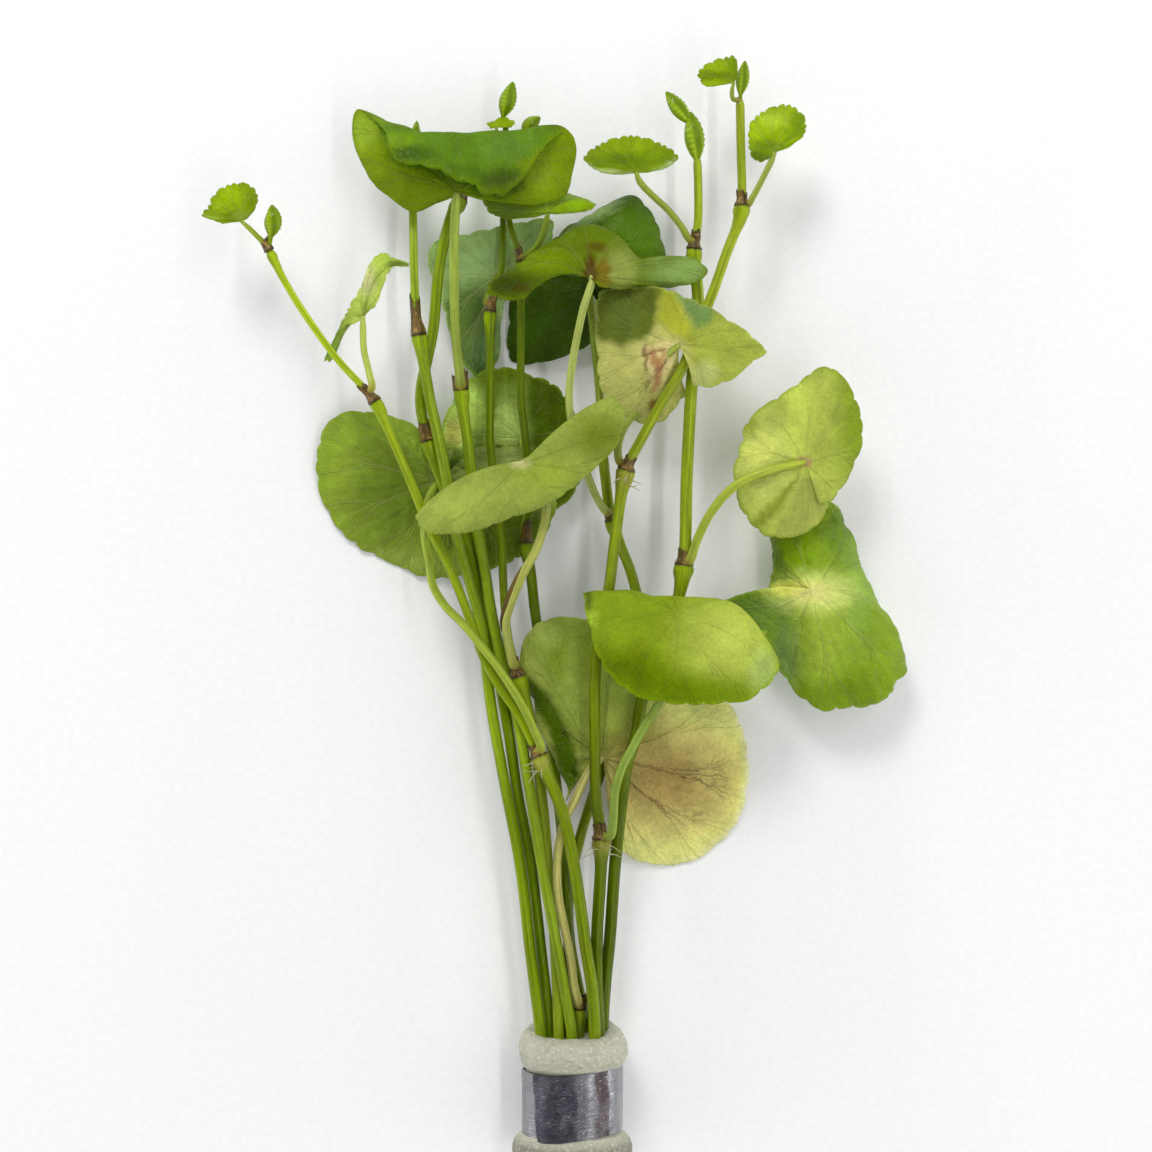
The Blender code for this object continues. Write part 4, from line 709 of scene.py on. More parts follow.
            ([(516, 166), (542, 146), (566, 128), (582, 140), (576, 196), (530, 210), (532, 172)],
             6, srgb(118, 142, 2), 0.95),
            ((542, 176, 12, 14), 0.8, srgb(136, 158, 44), 0.7),
        ],
    },
    "leaf_under_edge": {
        "top": srgb(106, 130, 24), "under": srgb(120, 140, 50), "rim": srgb(124, 150, 30),
        "stalk": srgb(112, 132, 40), "veins": 0.12, "ridged": True, "painted_lift": 1.3,
        "patches": [
            ((504, 211, 22, 9), 0.7, srgb(104, 126, 48), 0.8),
            ((572, 202, 22, 8), 0.7, srgb(126, 158, 10), 0.8),
        ],
    },
    "leaf_back_blue": {
        # the top colour is the leaf's green with a painted bluish sheen mixed in, and so is the first patch
        "top": srgb(124, 144, 92), "under": srgb(130, 150, 70), "rim": srgb(120, 146, 66),
        "stalk": STALK, "veins": 0.7, "painted_lift": 2.1, "skin": "wet",
        "patches": [
            ((465, 262, 40, 14), 0.7, srgb(108, 130, 86), 0.7),
            ((470, 288, 26, 10), 0.7, srgb(80, 104, 58), 0.7),
            ([(440, 300), (462, 290), (490, 292), (500, 330), (500, 385), (460, 385)],
             8, srgb(58, 78, 28), 0.9),
            ((482, 352, 12, 18), 0.7, srgb(66, 88, 54), 0.7),
        ],
    },
    "leaf_back_dark": {
        "top": DEEP, "under": srgb(90, 112, 30), "rim": srgb(62, 88, 6),
        "stalk": STALK, "veins": 0.05, "skin": "wet", "painted_lift": 1.25, "puffed": 1.4,
        "patches": [
            ((630, 232, 40, 38), 0.7, srgb(86, 120, 12), 0.9),
            # painted sheen: a pale band along the upper edge
            ([(530, 250), (558, 224), (590, 204), (612, 196), (624, 202), (604, 216), (580, 232),
              (560, 246)], 4, srgb(136, 160, 96), 0.95),
        ],
    },
    "leaf_folded": {
        "top": srgb(150, 164, 74), "under": srgb(110, 134, 40), "rim": srgb(146, 162, 70),
        "stalk": srgb(150, 156, 78), "veins": 0.02, "ridged": True, "puffed": 0.3,
        "skin": "dull", "strip": ((507, 632), (526, 560), -0.75),
        "patches": [
            ((450, 508, 36, 22), 0.8, srgb(164, 180, 84), 0.8),
            ((545, 474, 30, 14), 0.8, srgb(144, 162, 56), 0.7),
            ((600, 436, 26, 20), 0.7, srgb(118, 130, 40), 0.9),
            ((596, 404, 26, 10), 0.8, srgb(156, 170, 78), 0.7),
            ((521, 464, 9, 6), 0.7, srgb(192, 192, 134), 0.9),
        ],
    },
    "leaf_curled": {
        "top": srgb(186, 204, 96), "under": srgb(170, 190, 90), "rim": srgb(164, 188, 70),
        "stalk": srgb(176, 190, 88), "veins": 0.1,
        "patches": [
            ((385, 258, 14, 8), 0.7, srgb(180, 204, 80), 0.8),
            # painted highlight: a pale spot on the curl
            ((366, 278, 9, 16), 0.7, srgb(216, 216, 164), 0.8),
            ((400, 264, 12, 5), 0.6, srgb(116, 138, 62), 0.8),
            ((334, 340, 14, 26), 0.7, srgb(130, 156, 64), 0.8),
        ],
    },
    "leaf_far_left": {
        "top": srgb(132, 156, 2), "under": srgb(150, 175, 60), "rim": srgb(140, 168, 8),
        "stalk": srgb(140, 160, 50), "veins": 0.1,
        "patches": [
            # these patches are painted light and shade on the ruffled blade
            ((232, 196, 12, 9), 0.8, srgb(158, 186, 0), 0.9),
            ((222, 206, 9, 6), 0.8, srgb(150, 178, 4), 0.8),
            ((232, 217, 16, 6), 0.8, srgb(104, 128, 0), 0.9),
            ((206, 207, 5, 8), 0.7, srgb(112, 136, 8), 0.7),
            ((252, 202, 5, 12), 0.7, srgb(122, 148, 20), 0.8),
            ((244, 216, 9, 6), 0.7, srgb(150, 176, 60), 0.6),
            ((208, 219, 14, 4), 0.7, srgb(150, 176, 66), 0.7),
        ],
    },
    "leaf_top_inner": {
        "top": srgb(124, 148, 2), "under": srgb(150, 175, 60), "rim": srgb(134, 160, 16),
        "stalk": srgb(132, 148, 56), "veins": 0.04,
        "patches": [
            # the next three patches are painted light and shade on the ruffled blade
            ((632, 142, 34, 8), 0.8, srgb(138, 164, 2), 0.8),
            ((622, 160, 34, 6), 0.8, srgb(102, 128, 0), 0.85),
            ((669, 163, 10, 7), 0.7, srgb(114, 142, 0), 0.8),
            ([(580, 158), (596, 168), (622, 173), (650, 173), (676, 158), (678, 172), (630, 182),
              (584, 172)], 3, srgb(182, 198, 134), 0.9),
        ],
    },
    "leaf_top_tip": {
        "top": srgb(132, 158, 2), "under": srgb(150, 175, 60), "rim": srgb(138, 164, 6),
        "stalk": STALK, "veins": 0.12,
        "patches": [
            # these patches are painted light and shade on the ruffled blade
            ((714, 66, 16, 5), 0.7, srgb(150, 178, 0), 0.85),
            ((718, 76, 18, 5), 0.7, srgb(108, 132, 0), 0.85),
            ((733, 66, 5, 9), 0.7, srgb(116, 142, 0), 0.8),
            ((712, 84, 12, 4), 0.7, srgb(158, 186, 24), 0.8),
        ],
    },
    "leaf_top_outer": {
        "top": srgb(148, 174, 8), "under": srgb(150, 175, 60), "rim": srgb(150, 178, 24),
        "stalk": srgb(146, 160, 70), "veins": 0.16,
        "patches": [
            # these patches are painted light and shade on the cupped blade
            ((772, 118, 18, 9), 0.8, srgb(178, 202, 56), 0.85),
            ((754, 126, 6, 10), 0.8, srgb(164, 190, 30), 0.7),
            ((799, 122, 9, 12), 0.6, srgb(108, 138, 0), 0.9),
            ([(782, 148), (808, 130), (806, 122), (786, 132), (778, 146)], 3,
             srgb(120, 150, 0), 0.85),
            ((766, 146, 16, 6), 0.7, srgb(112, 142, 0), 0.9),
            ((758, 158, 16, 7), 0.5, srgb(88, 116, 2), 0.95),
        ],
    },
    "leaf_top_centre": {
        "top": srgb(144, 170, 16), "under": srgb(150, 175, 60), "rim": srgb(146, 174, 20),
        "stalk": STALK, "veins": 0.05,
    },
}


def place(point):
    """Plan point (x, y, height) as millimetres in the bunch's frame."""
    x, y, height = point
    scale = (EYE_HEIGHT + REFERENCE_HEIGHT - height) / EYE_HEIGHT / PLAN_UNITS_PER_MM
    return np.array([(x - PLAN_MIDDLE) * scale, (PLAN_MIDDLE - y) * scale, height])


def seen(points):
    """Where millimetre points show in the plan view, as plan x and y."""
    scale = (EYE_HEIGHT + REFERENCE_HEIGHT - points[..., 2]) / EYE_HEIGHT / PLAN_UNITS_PER_MM
    return np.stack([
        PLAN_MIDDLE + points[..., 0] / scale, PLAN_MIDDLE - points[..., 1] / scale,
    ], axis=-1)


def spaced(points):
    """Running parameter of a row of points, eased so close points stay smooth."""
    steps = np.linalg.norm(np.diff(points, axis=0), axis=1)
    return np.concatenate([[0.0], np.cumsum(np.sqrt(np.maximum(steps, 1e-6)))])


def smooth(points, knots, at):
    """Smooth curve through the points, read at the given parameters."""
    points = np.asarray(points, dtype=float)
    slopes = np.gradient(points, knots, axis=0)
    i = np.clip(np.searchsorted(knots, at, side="right") - 1, 0, len(knots) - 2)
    width = (knots[i + 1] - knots[i])[:, None]
    u = ((at - knots[i]) / (knots[i + 1] - knots[i]))[:, None]
    return (
        (2 * u**3 - 3 * u**2 + 1) * points[i]
        + (u**3 - 2 * u**2 + u) * width * slopes[i]
        + (3 * u**2 - 2 * u**3) * points[i + 1]
        + (u**3 - u**2) * width * slopes[i + 1]
    )


def run_along(line):
    """Distance along a line at each of its points."""
    return np.concatenate([[0.0], np.cumsum(np.linalg.norm(np.diff(line, axis=0), axis=1))])


def resampled(points, step):
    """The smooth line through the points as samples about a step apart."""
    points = np.asarray(points, dtype=float)
    knots = spaced(points)
    fine = smooth(points, knots, np.linspace(0.0, knots[-1], 600))
    run = run_along(fine)
    at = np.linspace(0.0, run[-1], max(4, int(run[-1] / step) + 1))
    return np.stack([np.interp(at, run, fine[:, k]) for k in range(3)], axis=1)


def step_up(value, low, high):
    """Smooth step from 0 to 1 between two values."""
    u = np.clip((value - low) / (high - low), 0.0, 1.0)
    return u * u * (3 - 2 * u)


def ripple(points, size, seed=0.0):
    """Smooth wandering value from -1 to 1 over space, made of a few slanted waves."""
    ways = ((1.0, 0.31, 0.52), (-0.43, 1.07, 0.35), (0.27, -0.64, 1.21), (0.83, 0.78, -0.66))
    total = np.zeros(points.shape[:-1])
    for number, way in enumerate(ways):
        along = points @ np.array(way) * (2 * math.pi / size) * (1 + 0.27 * number)
        total += np.sin(along + seed * (1.7 + number) + 2.1 * np.sin(along * 0.37 + number))
    return total / len(ways)


class Shape:
    """Gathers the surfaces of one piece."""

    def __init__(self):
        self.points, self.tints, self.marks = [], [], []
        self.faces, self.finishes, self.spreads = [], [], []
        self.count = 0

    def spots(self, points, tint, marks=(0.0, 0.0, 0.0)):
        """Adds a grid of points with their colours, and returns their numbers."""
        points = np.asarray(points, dtype=float)
        rows = points.reshape(-1, 3)
        self.points.append(rows)
        self.tints.append(np.broadcast_to(tint, points.shape).reshape(-1, 3))
        self.marks.append(np.broadcast_to(marks, points.shape).reshape(-1, 3))
        self.count += len(rows)
        return (np.arange(len(rows)) + self.count - len(rows)).reshape(points.shape[:-1])

    def sheet(self, ids, spread, finish, turned=False, closed=False):
        """Faces over a grid of numbers, triangles where two of them are one."""
        rows, columns = ids.shape
        for i in range(rows if closed else rows - 1):
            n = (i + 1) % rows
            for j in range(columns - 1):
                corners = [
                    (ids[i, j], spread[i, j]), (ids[n, j], spread[i + 1, j]),
                    (ids[n, j + 1], spread[i + 1, j + 1]), (ids[i, j + 1], spread[i, j + 1]),
                ]
                if corners[0][0] == corners[1][0]:
                    del corners[1]
                if corners[-1][0] == corners[-2][0]:
                    del corners[-1]
                if turned:
                    corners.reverse()
                self.faces.append([c[0] for c in corners])
                self.spreads.extend(c[1] for c in corners)
                self.finishes.append(finish)

    def build(self, name, materials):
        """The piece as a mesh object, in metres and in the frame's place."""
        points = np.concatenate(self.points)
        points[:, 0] += ORIGIN_SHIFT[0]
        points[:, 1] += ORIGIN_SHIFT[1]
        mesh = bpy.data.meshes.new(name)
        mesh.from_pydata((points * MM).tolist(), [], self.faces)
        mesh.polygons.foreach_set("material_index", self.finishes)
        mesh.polygons.foreach_set("use_smooth", [True] * len(self.faces))
        spread = mesh.uv_layers.new(name="spread")
        spread.data.foreach_set("uv", np.asarray(self.spreads, dtype=np.float32).ravel())
        for label, rows in (("tint", self.tints), ("marks", self.marks)):
            layer = mesh.attributes.new(label, "FLOAT_COLOR", "POINT")
            values = np.ones((self.count, 4), dtype=np.float32)
            values[:, :3] = np.concatenate(rows)
            layer.data.foreach_set("color", values.ravel())
        for material in materials:
            mesh.materials.append(material)
        mesh.update()
        obj = bpy.data.objects.new(name, mesh)
        bpy.context.scene.collection.objects.link(obj)
        return obj


def frames_along(line):
    """Directions along a line and two across it that don't twist."""
    along = np.gradient(line, axis=0)
    along /= np.linalg.norm(along, axis=1)[:, None]
    side = np.zeros_like(along)
    start = np.array([0.0, 0.0, 1.0])
    if abs(along[0, 2]) > 0.9:
        start = np.array([1.0, 0.0, 0.0])
    for k, way in enumerate(along):
        start = start - way * (start @ way)
        start /= np.linalg.norm(start)
        side[k] = start
    return along, side, np.cross(along, side)


def sweep(shape, line, radii, sides, tint, finish, marks=(0.0, 0.0, 0.0), flat=1.0):
    """Round surface along a line, closed at both ends."""
    along, side, other = frames_along(line)
    turn = np.arange(sides) * 2 * math.pi / sides
    radii = np.asarray(radii)
    if radii.ndim == 1:
        radii = np.broadcast_to(radii, (sides, len(line)))
    ring = (
        line[None] + (radii * np.cos(turn)[:, None])[..., None] * side[None]
        + (radii * flat * np.sin(turn)[:, None])[..., None] * other[None]
    )
    ring[..., 2] = np.maximum(ring[..., 2], CLEAR_OF_SURFACE)
    run = run_along(line)
    spread = np.zeros((sides + 1, len(line), 2))
    spread[..., 0] = np.arange(sides + 1)[:, None] / sides
    spread[..., 1] = run[None] / 10
    tint = np.asarray(tint)
    if tint.ndim == 2:
        tint = np.broadcast_to(tint[None], ring.shape)
    ids = shape.spots(ring, tint, marks)
    shape.sheet(ids, spread, finish, closed=True)
    for end, turned in ((0, True), (-1, False)):
        colour = tint if tint.ndim == 1 else tint[0, end]
        middle = shape.spots(line[end][None], colour)[0]
        disc = np.stack([ids[:, end], np.full(sides, middle)], axis=1)
        shape.sheet(disc, spread[:, :2], finish, turned, closed=True)


def patch_cover(patch, at):
    """How strongly a patch covers plan points, from 0 to 1."""
    area, softness = patch[0], patch[1]
    if isinstance(area, tuple):
        x, y, wide, high = area
        away = np.hypot((at[..., 0] - x) / wide, (at[..., 1] - y) / high)
        return 1.0 - step_up(away, 1.0 - softness, 1.0 + softness)
    nearest = np.full(at.shape[:-1], 1e9)
    inside = np.zeros(at.shape[:-1], dtype=bool)
    for a, b in zip(area, area[1:] + area[:1]):
        edge = np.subtract(b, a)
        u = np.clip(((at - a) @ edge) / (edge @ edge), 0.0, 1.0)
        nearest = np.minimum(nearest, np.linalg.norm(at - (a + u[..., None] * edge), axis=-1))
        crosses = (a[1] > at[..., 1]) != (b[1] > at[..., 1])
        rise = edge[1] if edge[1] else 1e-9
        inside ^= crosses & (at[..., 0] < a[0] + (at[..., 1] - a[1]) * edge[0] / rise)
    signed = np.where(inside, nearest, -nearest)
    return step_up(signed, -softness, softness)


def skin(colour, painted_lift=1.0):
    """The surface colour that shows as a given colour in this light."""
    return np.clip((colour - SKIN_HAZE) * SKIN_GAIN * painted_lift, 0.0008, 0.95)


def blade_colours(look, points, base, outward):
    """Colours over one side of a blade: its patches, some painted light and shade, its paler rim and its painted lift.
    """
    at = seen(points)
    colour = np.broadcast_to(base, points.shape).copy()
    wander = ripple(points, 5.0)[..., None] * np.array([3.0, 3.0])
    for patch in look.get("patches", []):
        cover = patch_cover(patch, at + wander)[..., None] * patch[3]
        colour = colour * (1 - cover) + patch[2] * cover
    edge = step_up(outward, 0.94, 1.0)[..., None] * 0.6
    if "rim_area" in look:
        edge = edge * patch_cover((look["rim_area"], 0.3), at)[..., None]
    colour = colour * (1 - edge) + look["rim"] * edge
    # painted light: the leaf's lift scales all its colours against the shade it sits in
    return skin(colour, look.get("painted_lift", 1.0))


def blade(shape, name, leaf, look):
    """Leaf blade with a scalloped rim, sunk veins and swollen cells between."""
    small = name in SMALL_LEAVES
    around, outward = SMALL_BLADE_STEPS if small else BIG_BLADE_STEPS
    middle = place(leaf["stalk"][-1])
    rim = np.array([place(p) for p in leaf["rim"]])
    bends = leaf.get("bends", {})
    bends = bends if isinstance(bends, dict) else dict(enumerate(bends))
    half_way = np.array([
        place(bends[k]) if k in bends
        else (middle + end) / 2 + np.array([0.0, 0.0, leaf["crown"]])
        for k, end in enumerate(rim)
    ])
    knots = spaced(rim)
    at = np.linspace(0.0, knots[-1], 4 * around + 1)
    run = run_along(smooth(rim, knots, at))
    at = np.interp(np.linspace(0.0, run[-1], around + 1), run, at)
    rim_line = smooth(rim, knots, at)[:, None]
    half_line = smooth(half_way, knots, at)[:, None]
    run = run_along(rim_line[:, 0])

    # the rim's scallops, cut back from the outline
    calm = look.get("calm", 1.0)
    pitch, depth = (1.7, 0.55 * calm) if small else (4.6, 0.55 * calm)
    beat = run / pitch + 0.3 * np.sin(run / pitch * 1.7) + 0.5
    cut = depth * (1 - np.abs(np.sin(math.pi * beat))**0.55)
    cut += 0.1 * calm * (1 - np.abs(np.sin(3 * math.pi * beat))**0.7)
    length = np.linalg.norm(rim_line[:, 0] - middle, axis=1)
    r = np.linspace(0.0, 1.0, outward + 1)[None]
    reach = r * (1 - (cut / length)[:, None] * r**5)
    w = reach[..., None]
    surface = (1 - w)**2 * middle + 2 * w * (1 - w) * half_line + w**2 * rim_line

    across = np.gradient(surface, axis=0)
    normal = np.cross(across, np.gradient(surface, axis=1))
    normal[:, 0] = normal[:, 1].mean(axis=0)
    normal /= np.maximum(np.linalg.norm(normal, axis=-1), 1e-12)[..., None]
    upright = 1.0 if normal[:, 1:outward // 3, 2].mean() > 0 else -1.0
    normal *= upright

    # veins fan out from the stalk, one to a sector, and part twice on the way
    sectors = 7 if small else 9
    sector = run / run[-1] * sectors
    across_vein = np.abs(sector % 1.0 - 0.5)[:, None]
    span = run[-1] / sectors
    fork = np.abs(across_vein - 0.27 * step_up(r, 0.35, 1.0))
    line = np.exp(-(across_vein * span * r / 0.5)**2)
    line = np.maximum(line, np.exp(-(fork * span * r / 0.35)**2) * 0.7)
    swell = np.sin(math.pi * across_vein)**2 * r * (1 - r**6)
    swell += np.sin(math.pi * beat)[:, None]**2 * step_up(r, 0.6, 1.0) * (0.5 if small else 0.25)
    relief = (0.2 if small else 0.26) * swell - 0.14 * line * (1 - 0.6 * r)
    if look.get("ridged"):
        relief = -relief
    relief = (relief + 0.16 * ripple(surface, 9.0, 1.0) * r) * look.get("puffed", 1.0)
    if "quilted" in look:
        creases = [np.exp(-(ripple(surface, size, seed) / 0.16)**2)
                   for size, seed in ((11.0, 4.0), (7.0, 9.0))]
        relief = relief + look["quilted"] * (creases[0] + creases[1]) * step_up(r, 0.1, 0.4)
    wave = (0.3 if small else 0.5) * calm
    relief = relief + wave * np.sin(sector * 2.1)[:, None] * r**4
    surface = surface + normal * relief[..., None]

    thick = (RIM_THICKNESS + (BLADE_THICKNESS - RIM_THICKNESS) * (1 - r**12))[..., None] / 2
    thick = np.broadcast_to(thick, surface[..., :1].shape)
    top = surface + normal * thick
    under = surface - normal * thick
    under[..., 2] = np.maximum(under[..., 2], CLEAR_OF_SURFACE)
    top[..., 2] = np.maximum(top[..., 2], CLEAR_OF_SURFACE + RIM_THICKNESS)
    browned = np.zeros(surface.shape[:-1])
    if "browned" in look:
        browned = patch_cover((look["browned"], 0.5), seen(surface))
    marks = np.stack([
        np.full(browned.shape, look["veins"]), browned, np.full(browned.shape, span / 20),
    ], axis=-1)
    out = np.broadcast_to(r, browned.shape)
    spread = np.stack([np.broadcast_to(sector[:, None], browned.shape), out], axis=-1)
    hub = spread.copy()
    hub[:-1, 0, 0] = (sector[:-1] + sector[1:]) / 2
    upper = shape.spots(top, blade_colours(look, top, look["top"], out), marks)
    lower = shape.spots(under, blade_colours(look, under, look["under"], out), marks)
    upper[:, 0] = upper[0, 0]
    lower[:, 0] = lower[0, 0]
    shape.sheet(upper, hub, 0, turned=upright < 0)
    shape.sheet(lower, hub, 0, turned=upright > 0)
    rim_ids = np.stack([upper[:, -1], lower[:, -1]], axis=1)
    rim_spread = np.stack([spread[:, -1], spread[:, -1]], axis=1)
    shape.sheet(rim_ids, rim_spread, 0, turned=upright < 0)
    for lip, turned in ((0, upright > 0), (-1, upright < 0)):
        lip_ids = np.stack([upper[lip, 1:], lower[lip, 1:]], axis=1)
        lip_spread = np.stack([spread[lip, 1:], spread[lip, 1:]], axis=1)
        shape.sheet(lip_ids, lip_spread, 0, turned=not turned)
        tip = [upper[lip, 1], lower[lip, 1], lower[0, 0], upper[0, 0]]
        shape.faces.append(tip[::-1] if not turned else tip)
        shape.spreads.extend([spread[lip, 1]] * 4)
        shape.finishes.append(0)


def stem_line(stem):
    """The stem's middle line, from the cut end through the collar to its tip."""
    route = [place(point) for point in stem["route"]]
    mouth = route[0]
    inside = mouth.copy()
    inside[0] = COLLAR_X + (mouth[0] - COLLAR_X) * SQUEEZE
    inside[2] = HOLE_Z + (mouth[2] - HOLE_Z) * SQUEEZE
    start = inside.copy()
    start[1] = CUT_END_Y
    inside[1] = BAND_Y[1] - 3.0
    return resampled([start, inside] + route, STEM_STEP)


def nearest(line, x, y):
    """Number of the point of a line that shows nearest to a plan spot."""
    return int(np.argmin(np.linalg.norm(seen(line) - (x, y), axis=1)))


def sleeve(shape, line, k, radii, length, seed):
    """Papery brown sheath, split and torn, round a stem above its joint."""
    dice = np.random.default_rng(seed)
    count = max(3, int(length * 1.3 / STEM_STEP))
    beyond = line[-1] + (line[-1] - line[-2]) * np.arange(1, count + 2)[:, None]
    part = np.concatenate([line, beyond])[k:k + count + 1]
    along, side, other = frames_along(part)
    sides, rows = 44, 12
    turn = np.arange(sides) * 2 * math.pi / sides
    lean = dice.uniform(0, 2 * math.pi)
    torn = 0.78 + 0.12 * np.cos(turn - lean) + 0.07 * np.cos(3 * turn + lean * 5)
    torn = np.clip(torn + dice.uniform(-0.1, 0.1, sides), 0.4, 1.0)
    flare = 0.02 + 0.14 * np.maximum(0, np.cos(turn - lean)) + dice.uniform(-0.04, 0.04, sides)
    base, top = radii[k], radii[min(k + count, len(radii) - 1)]
    streak = 0.5 + 0.3 * np.cos(4 * turn + lean) + dice.uniform(-0.35, 0.35, sides)
    outer, inner, tints = [], [], []
    for j in range(rows):
        up = j / (rows - 1)
        share = up * torn * (len(part) - 1)
        low = np.minimum(share.astype(int), len(part) - 2)
        rest = (share - low)[:, None]
        spine = part[low] * (1 - rest) + part[low + 1] * rest
        bulge = 0.08 + 1.02 * (base + (top - base) * step_up(up, 0.0, 0.5)) + flare * up
        bulge = bulge + 0.05 * np.cos(9 * turn + lean) + 0.03 * dice.uniform(-1, 1, sides)
        way = np.cos(turn)[:, None] * side[low] + np.sin(turn)[:, None] * other[low]
        outer.append(spine + way * bulge[:, None])
        inner.append(spine + way * (bulge - 0.1)[:, None])
        dark = 1.1 - 3.5 * up if up < 0.2 else 0.3 + 0.4 * up
        dark = np.clip(dark + 0.8 * (streak - 0.45), 0.0, 1.0)[:, None]
        tints.append(HUSK_DARK * dark + HUSK * (1 - dark))
    grid = np.stack(outer + inner[::-1], axis=1)
    grid[..., 2] = np.maximum(grid[..., 2], CLEAR_OF_SURFACE)
    ids = shape.spots(grid, np.stack(tints + tints[::-1], axis=1))
    ids = np.concatenate([ids, ids[:, :1]], axis=1)
    spread = np.zeros((sides + 1, ids.shape[1], 2))
    spread[..., 0] = np.arange(sides + 1)[:, None] / sides
    spread[..., 1] = np.arange(ids.shape[1])[None] / 10
    shape.sheet(ids, spread, 1, closed=True)


def rootlets(shape, line, k, radius, count, seed):
    """Short pale roots that stick out and back from a joint."""
    dice = np.random.default_rng(seed)
    along, side, other = frames_along(line)
    for _ in range(count):
        spot = k - int(dice.integers(1, 6))
        turn = dice.uniform(0, 2 * math.pi)
        way = math.cos(turn) * side[spot] + math.sin(turn) * other[spot]
        drift = -along[spot] * dice.uniform(-0.2, 0.9) + dice.uniform(-0.4, 0.4, 3)
        length = dice.uniform(0.8, 2.6)
        points = [
            line[spot] + way * radius * 0.8 + (way + drift * u) * length * u
            for u in np.linspace(0.0, 1.0, 7)
        ]
        radii = np.linspace(0.13, 0.05, 7)
        sweep(shape, np.array(points), radii, 6, ROOTLET, 0)


def bud(shape, points, stalked, size):
    """Closed young leaf, folded on itself, with its teeth along the seams."""
    line = resampled([place(p) for p in points], 0.15)
    share = np.linspace(0.0, 1.0, len(line))
    leafy = np.clip((share - stalked) / (1 - stalked), 0.0, 1.0)
    radii = np.interp(leafy, np.linspace(0.0, 1.0, len(BUD_PROFILE)), BUD_PROFILE) * size
    sides = 32
    turn = np.arange(sides)[:, None] * 2 * math.pi / sides
    winding = turn + 0.5 * leafy[None]
    seam = np.abs(np.cos(winding * 1.5 + 0.5))**10
    teeth = np.abs(np.sin(math.pi * leafy * 9))[None] * seam
    folds = 0.5 + 0.5 * np.cos(5 * winding + 2.0 * leafy[None])
    grow = 1 + (0.16 * teeth + 0.07 * folds - 0.05) * step_up(leafy, 0.05, 0.3)[None]
    # painted light and shade: lighter on the fold ridges and the teeth, darker in the folds between; the colour also
    # darkens towards the tip
    light = np.clip(0.25 + 0.35 * folds + 0.7 * teeth - 0.25 * leafy[None], 0.0, 1.0)[..., None]
    colour = skin(srgb(146, 172, 40) * light + srgb(88, 114, 10) * (1 - light))
    sweep(shape, line, radii[None] * grow, sides, colour, 0, flat=1.12)


def make_stem(name, stem, materials):
    line = stem_line(stem)
    run = run_along(line)
    sides = STEM_SIDES
    turn = np.arange(sides)[:, None] * 2 * math.pi / sides
    radius = stem["radius"]
    radii = np.full(len(line), float(radius))
    radii[line[:, 1] < BAND_Y[1] + 4.0] *= 0.95
    low, high = STEM_TINTS[name]
    tint = low + (high - low) * step_up(line[:, 1], -70.0, 60.0)[:, None]
    tint = skin(tint * (1 + 0.12 * ripple(line, 30.0, radius)[:, None]))
    knob = np.zeros(len(line))
    shape = Shape()
    for number, (x, y, swelling, sheath, roots) in enumerate(stem["joints"]):
        k = nearest(line, x, y)
        if "buds" in stem and run[-1] - run[k] > 6.0:
            slimmer = OWN_SLIMMER.get(name, UPPER_SLIMMER)[number]
            radii *= 1 - slimmer * step_up(run, run[k], run[k] + 1.0)
        # widest just under the sheath, and long in narrowing below
        away = run - run[k] + 0.5
        wide = np.where(away > 0, (away / 0.9)**2, np.abs(away / 2.6)**1.8)
        radii *= 1 + swelling * 1.1 * np.exp(-wide)
        knob = np.maximum(knob, np.exp(-((away + 1.0) / 1.6)**2))
        pale = np.exp(-((away + 0.8) / 1.6)**2)[:, None]
        tint = tint * (1 - 0.6 * pale) + skin(ROOTED if roots else SWELLING) * 0.6 * pale
        scar = np.exp(-((run - run[k] - 1.0) / 1.0)**4)[:, None]
        tint = tint * (1 - scar) + HUSK_DARK * scar
        seed = int(x * 7 + y * 3 + number)
        sleeve(shape, line, k, radii, sheath, seed)
        rootlets(shape, line, k, radius * (1 + swelling), roots, seed)
    if "buds" in stem:
        radii *= 1 - 0.5 * step_up(run, run[-1] - 1.6, run[-1])
    ridges = 1 + 0.015 * np.cos(7 * turn + 0.4) + 0.015 * ripple(line, 7.0)[None]
    ridges = ridges + 0.05 * knob[None] * np.sin(3 * turn + 2.2 * run[None] + np.sin(5 * turn))
    sweep(shape, line, radii[None] * ridges, sides, tint, 0)
    for points, (stalked, size) in zip(stem.get("buds", []), BUD_SHAPES.get(name, [])):
        bud(shape, points, stalked, size)
    piece = shape.build("fine_" + name, materials)
    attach(piece, "root")
    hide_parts(name)


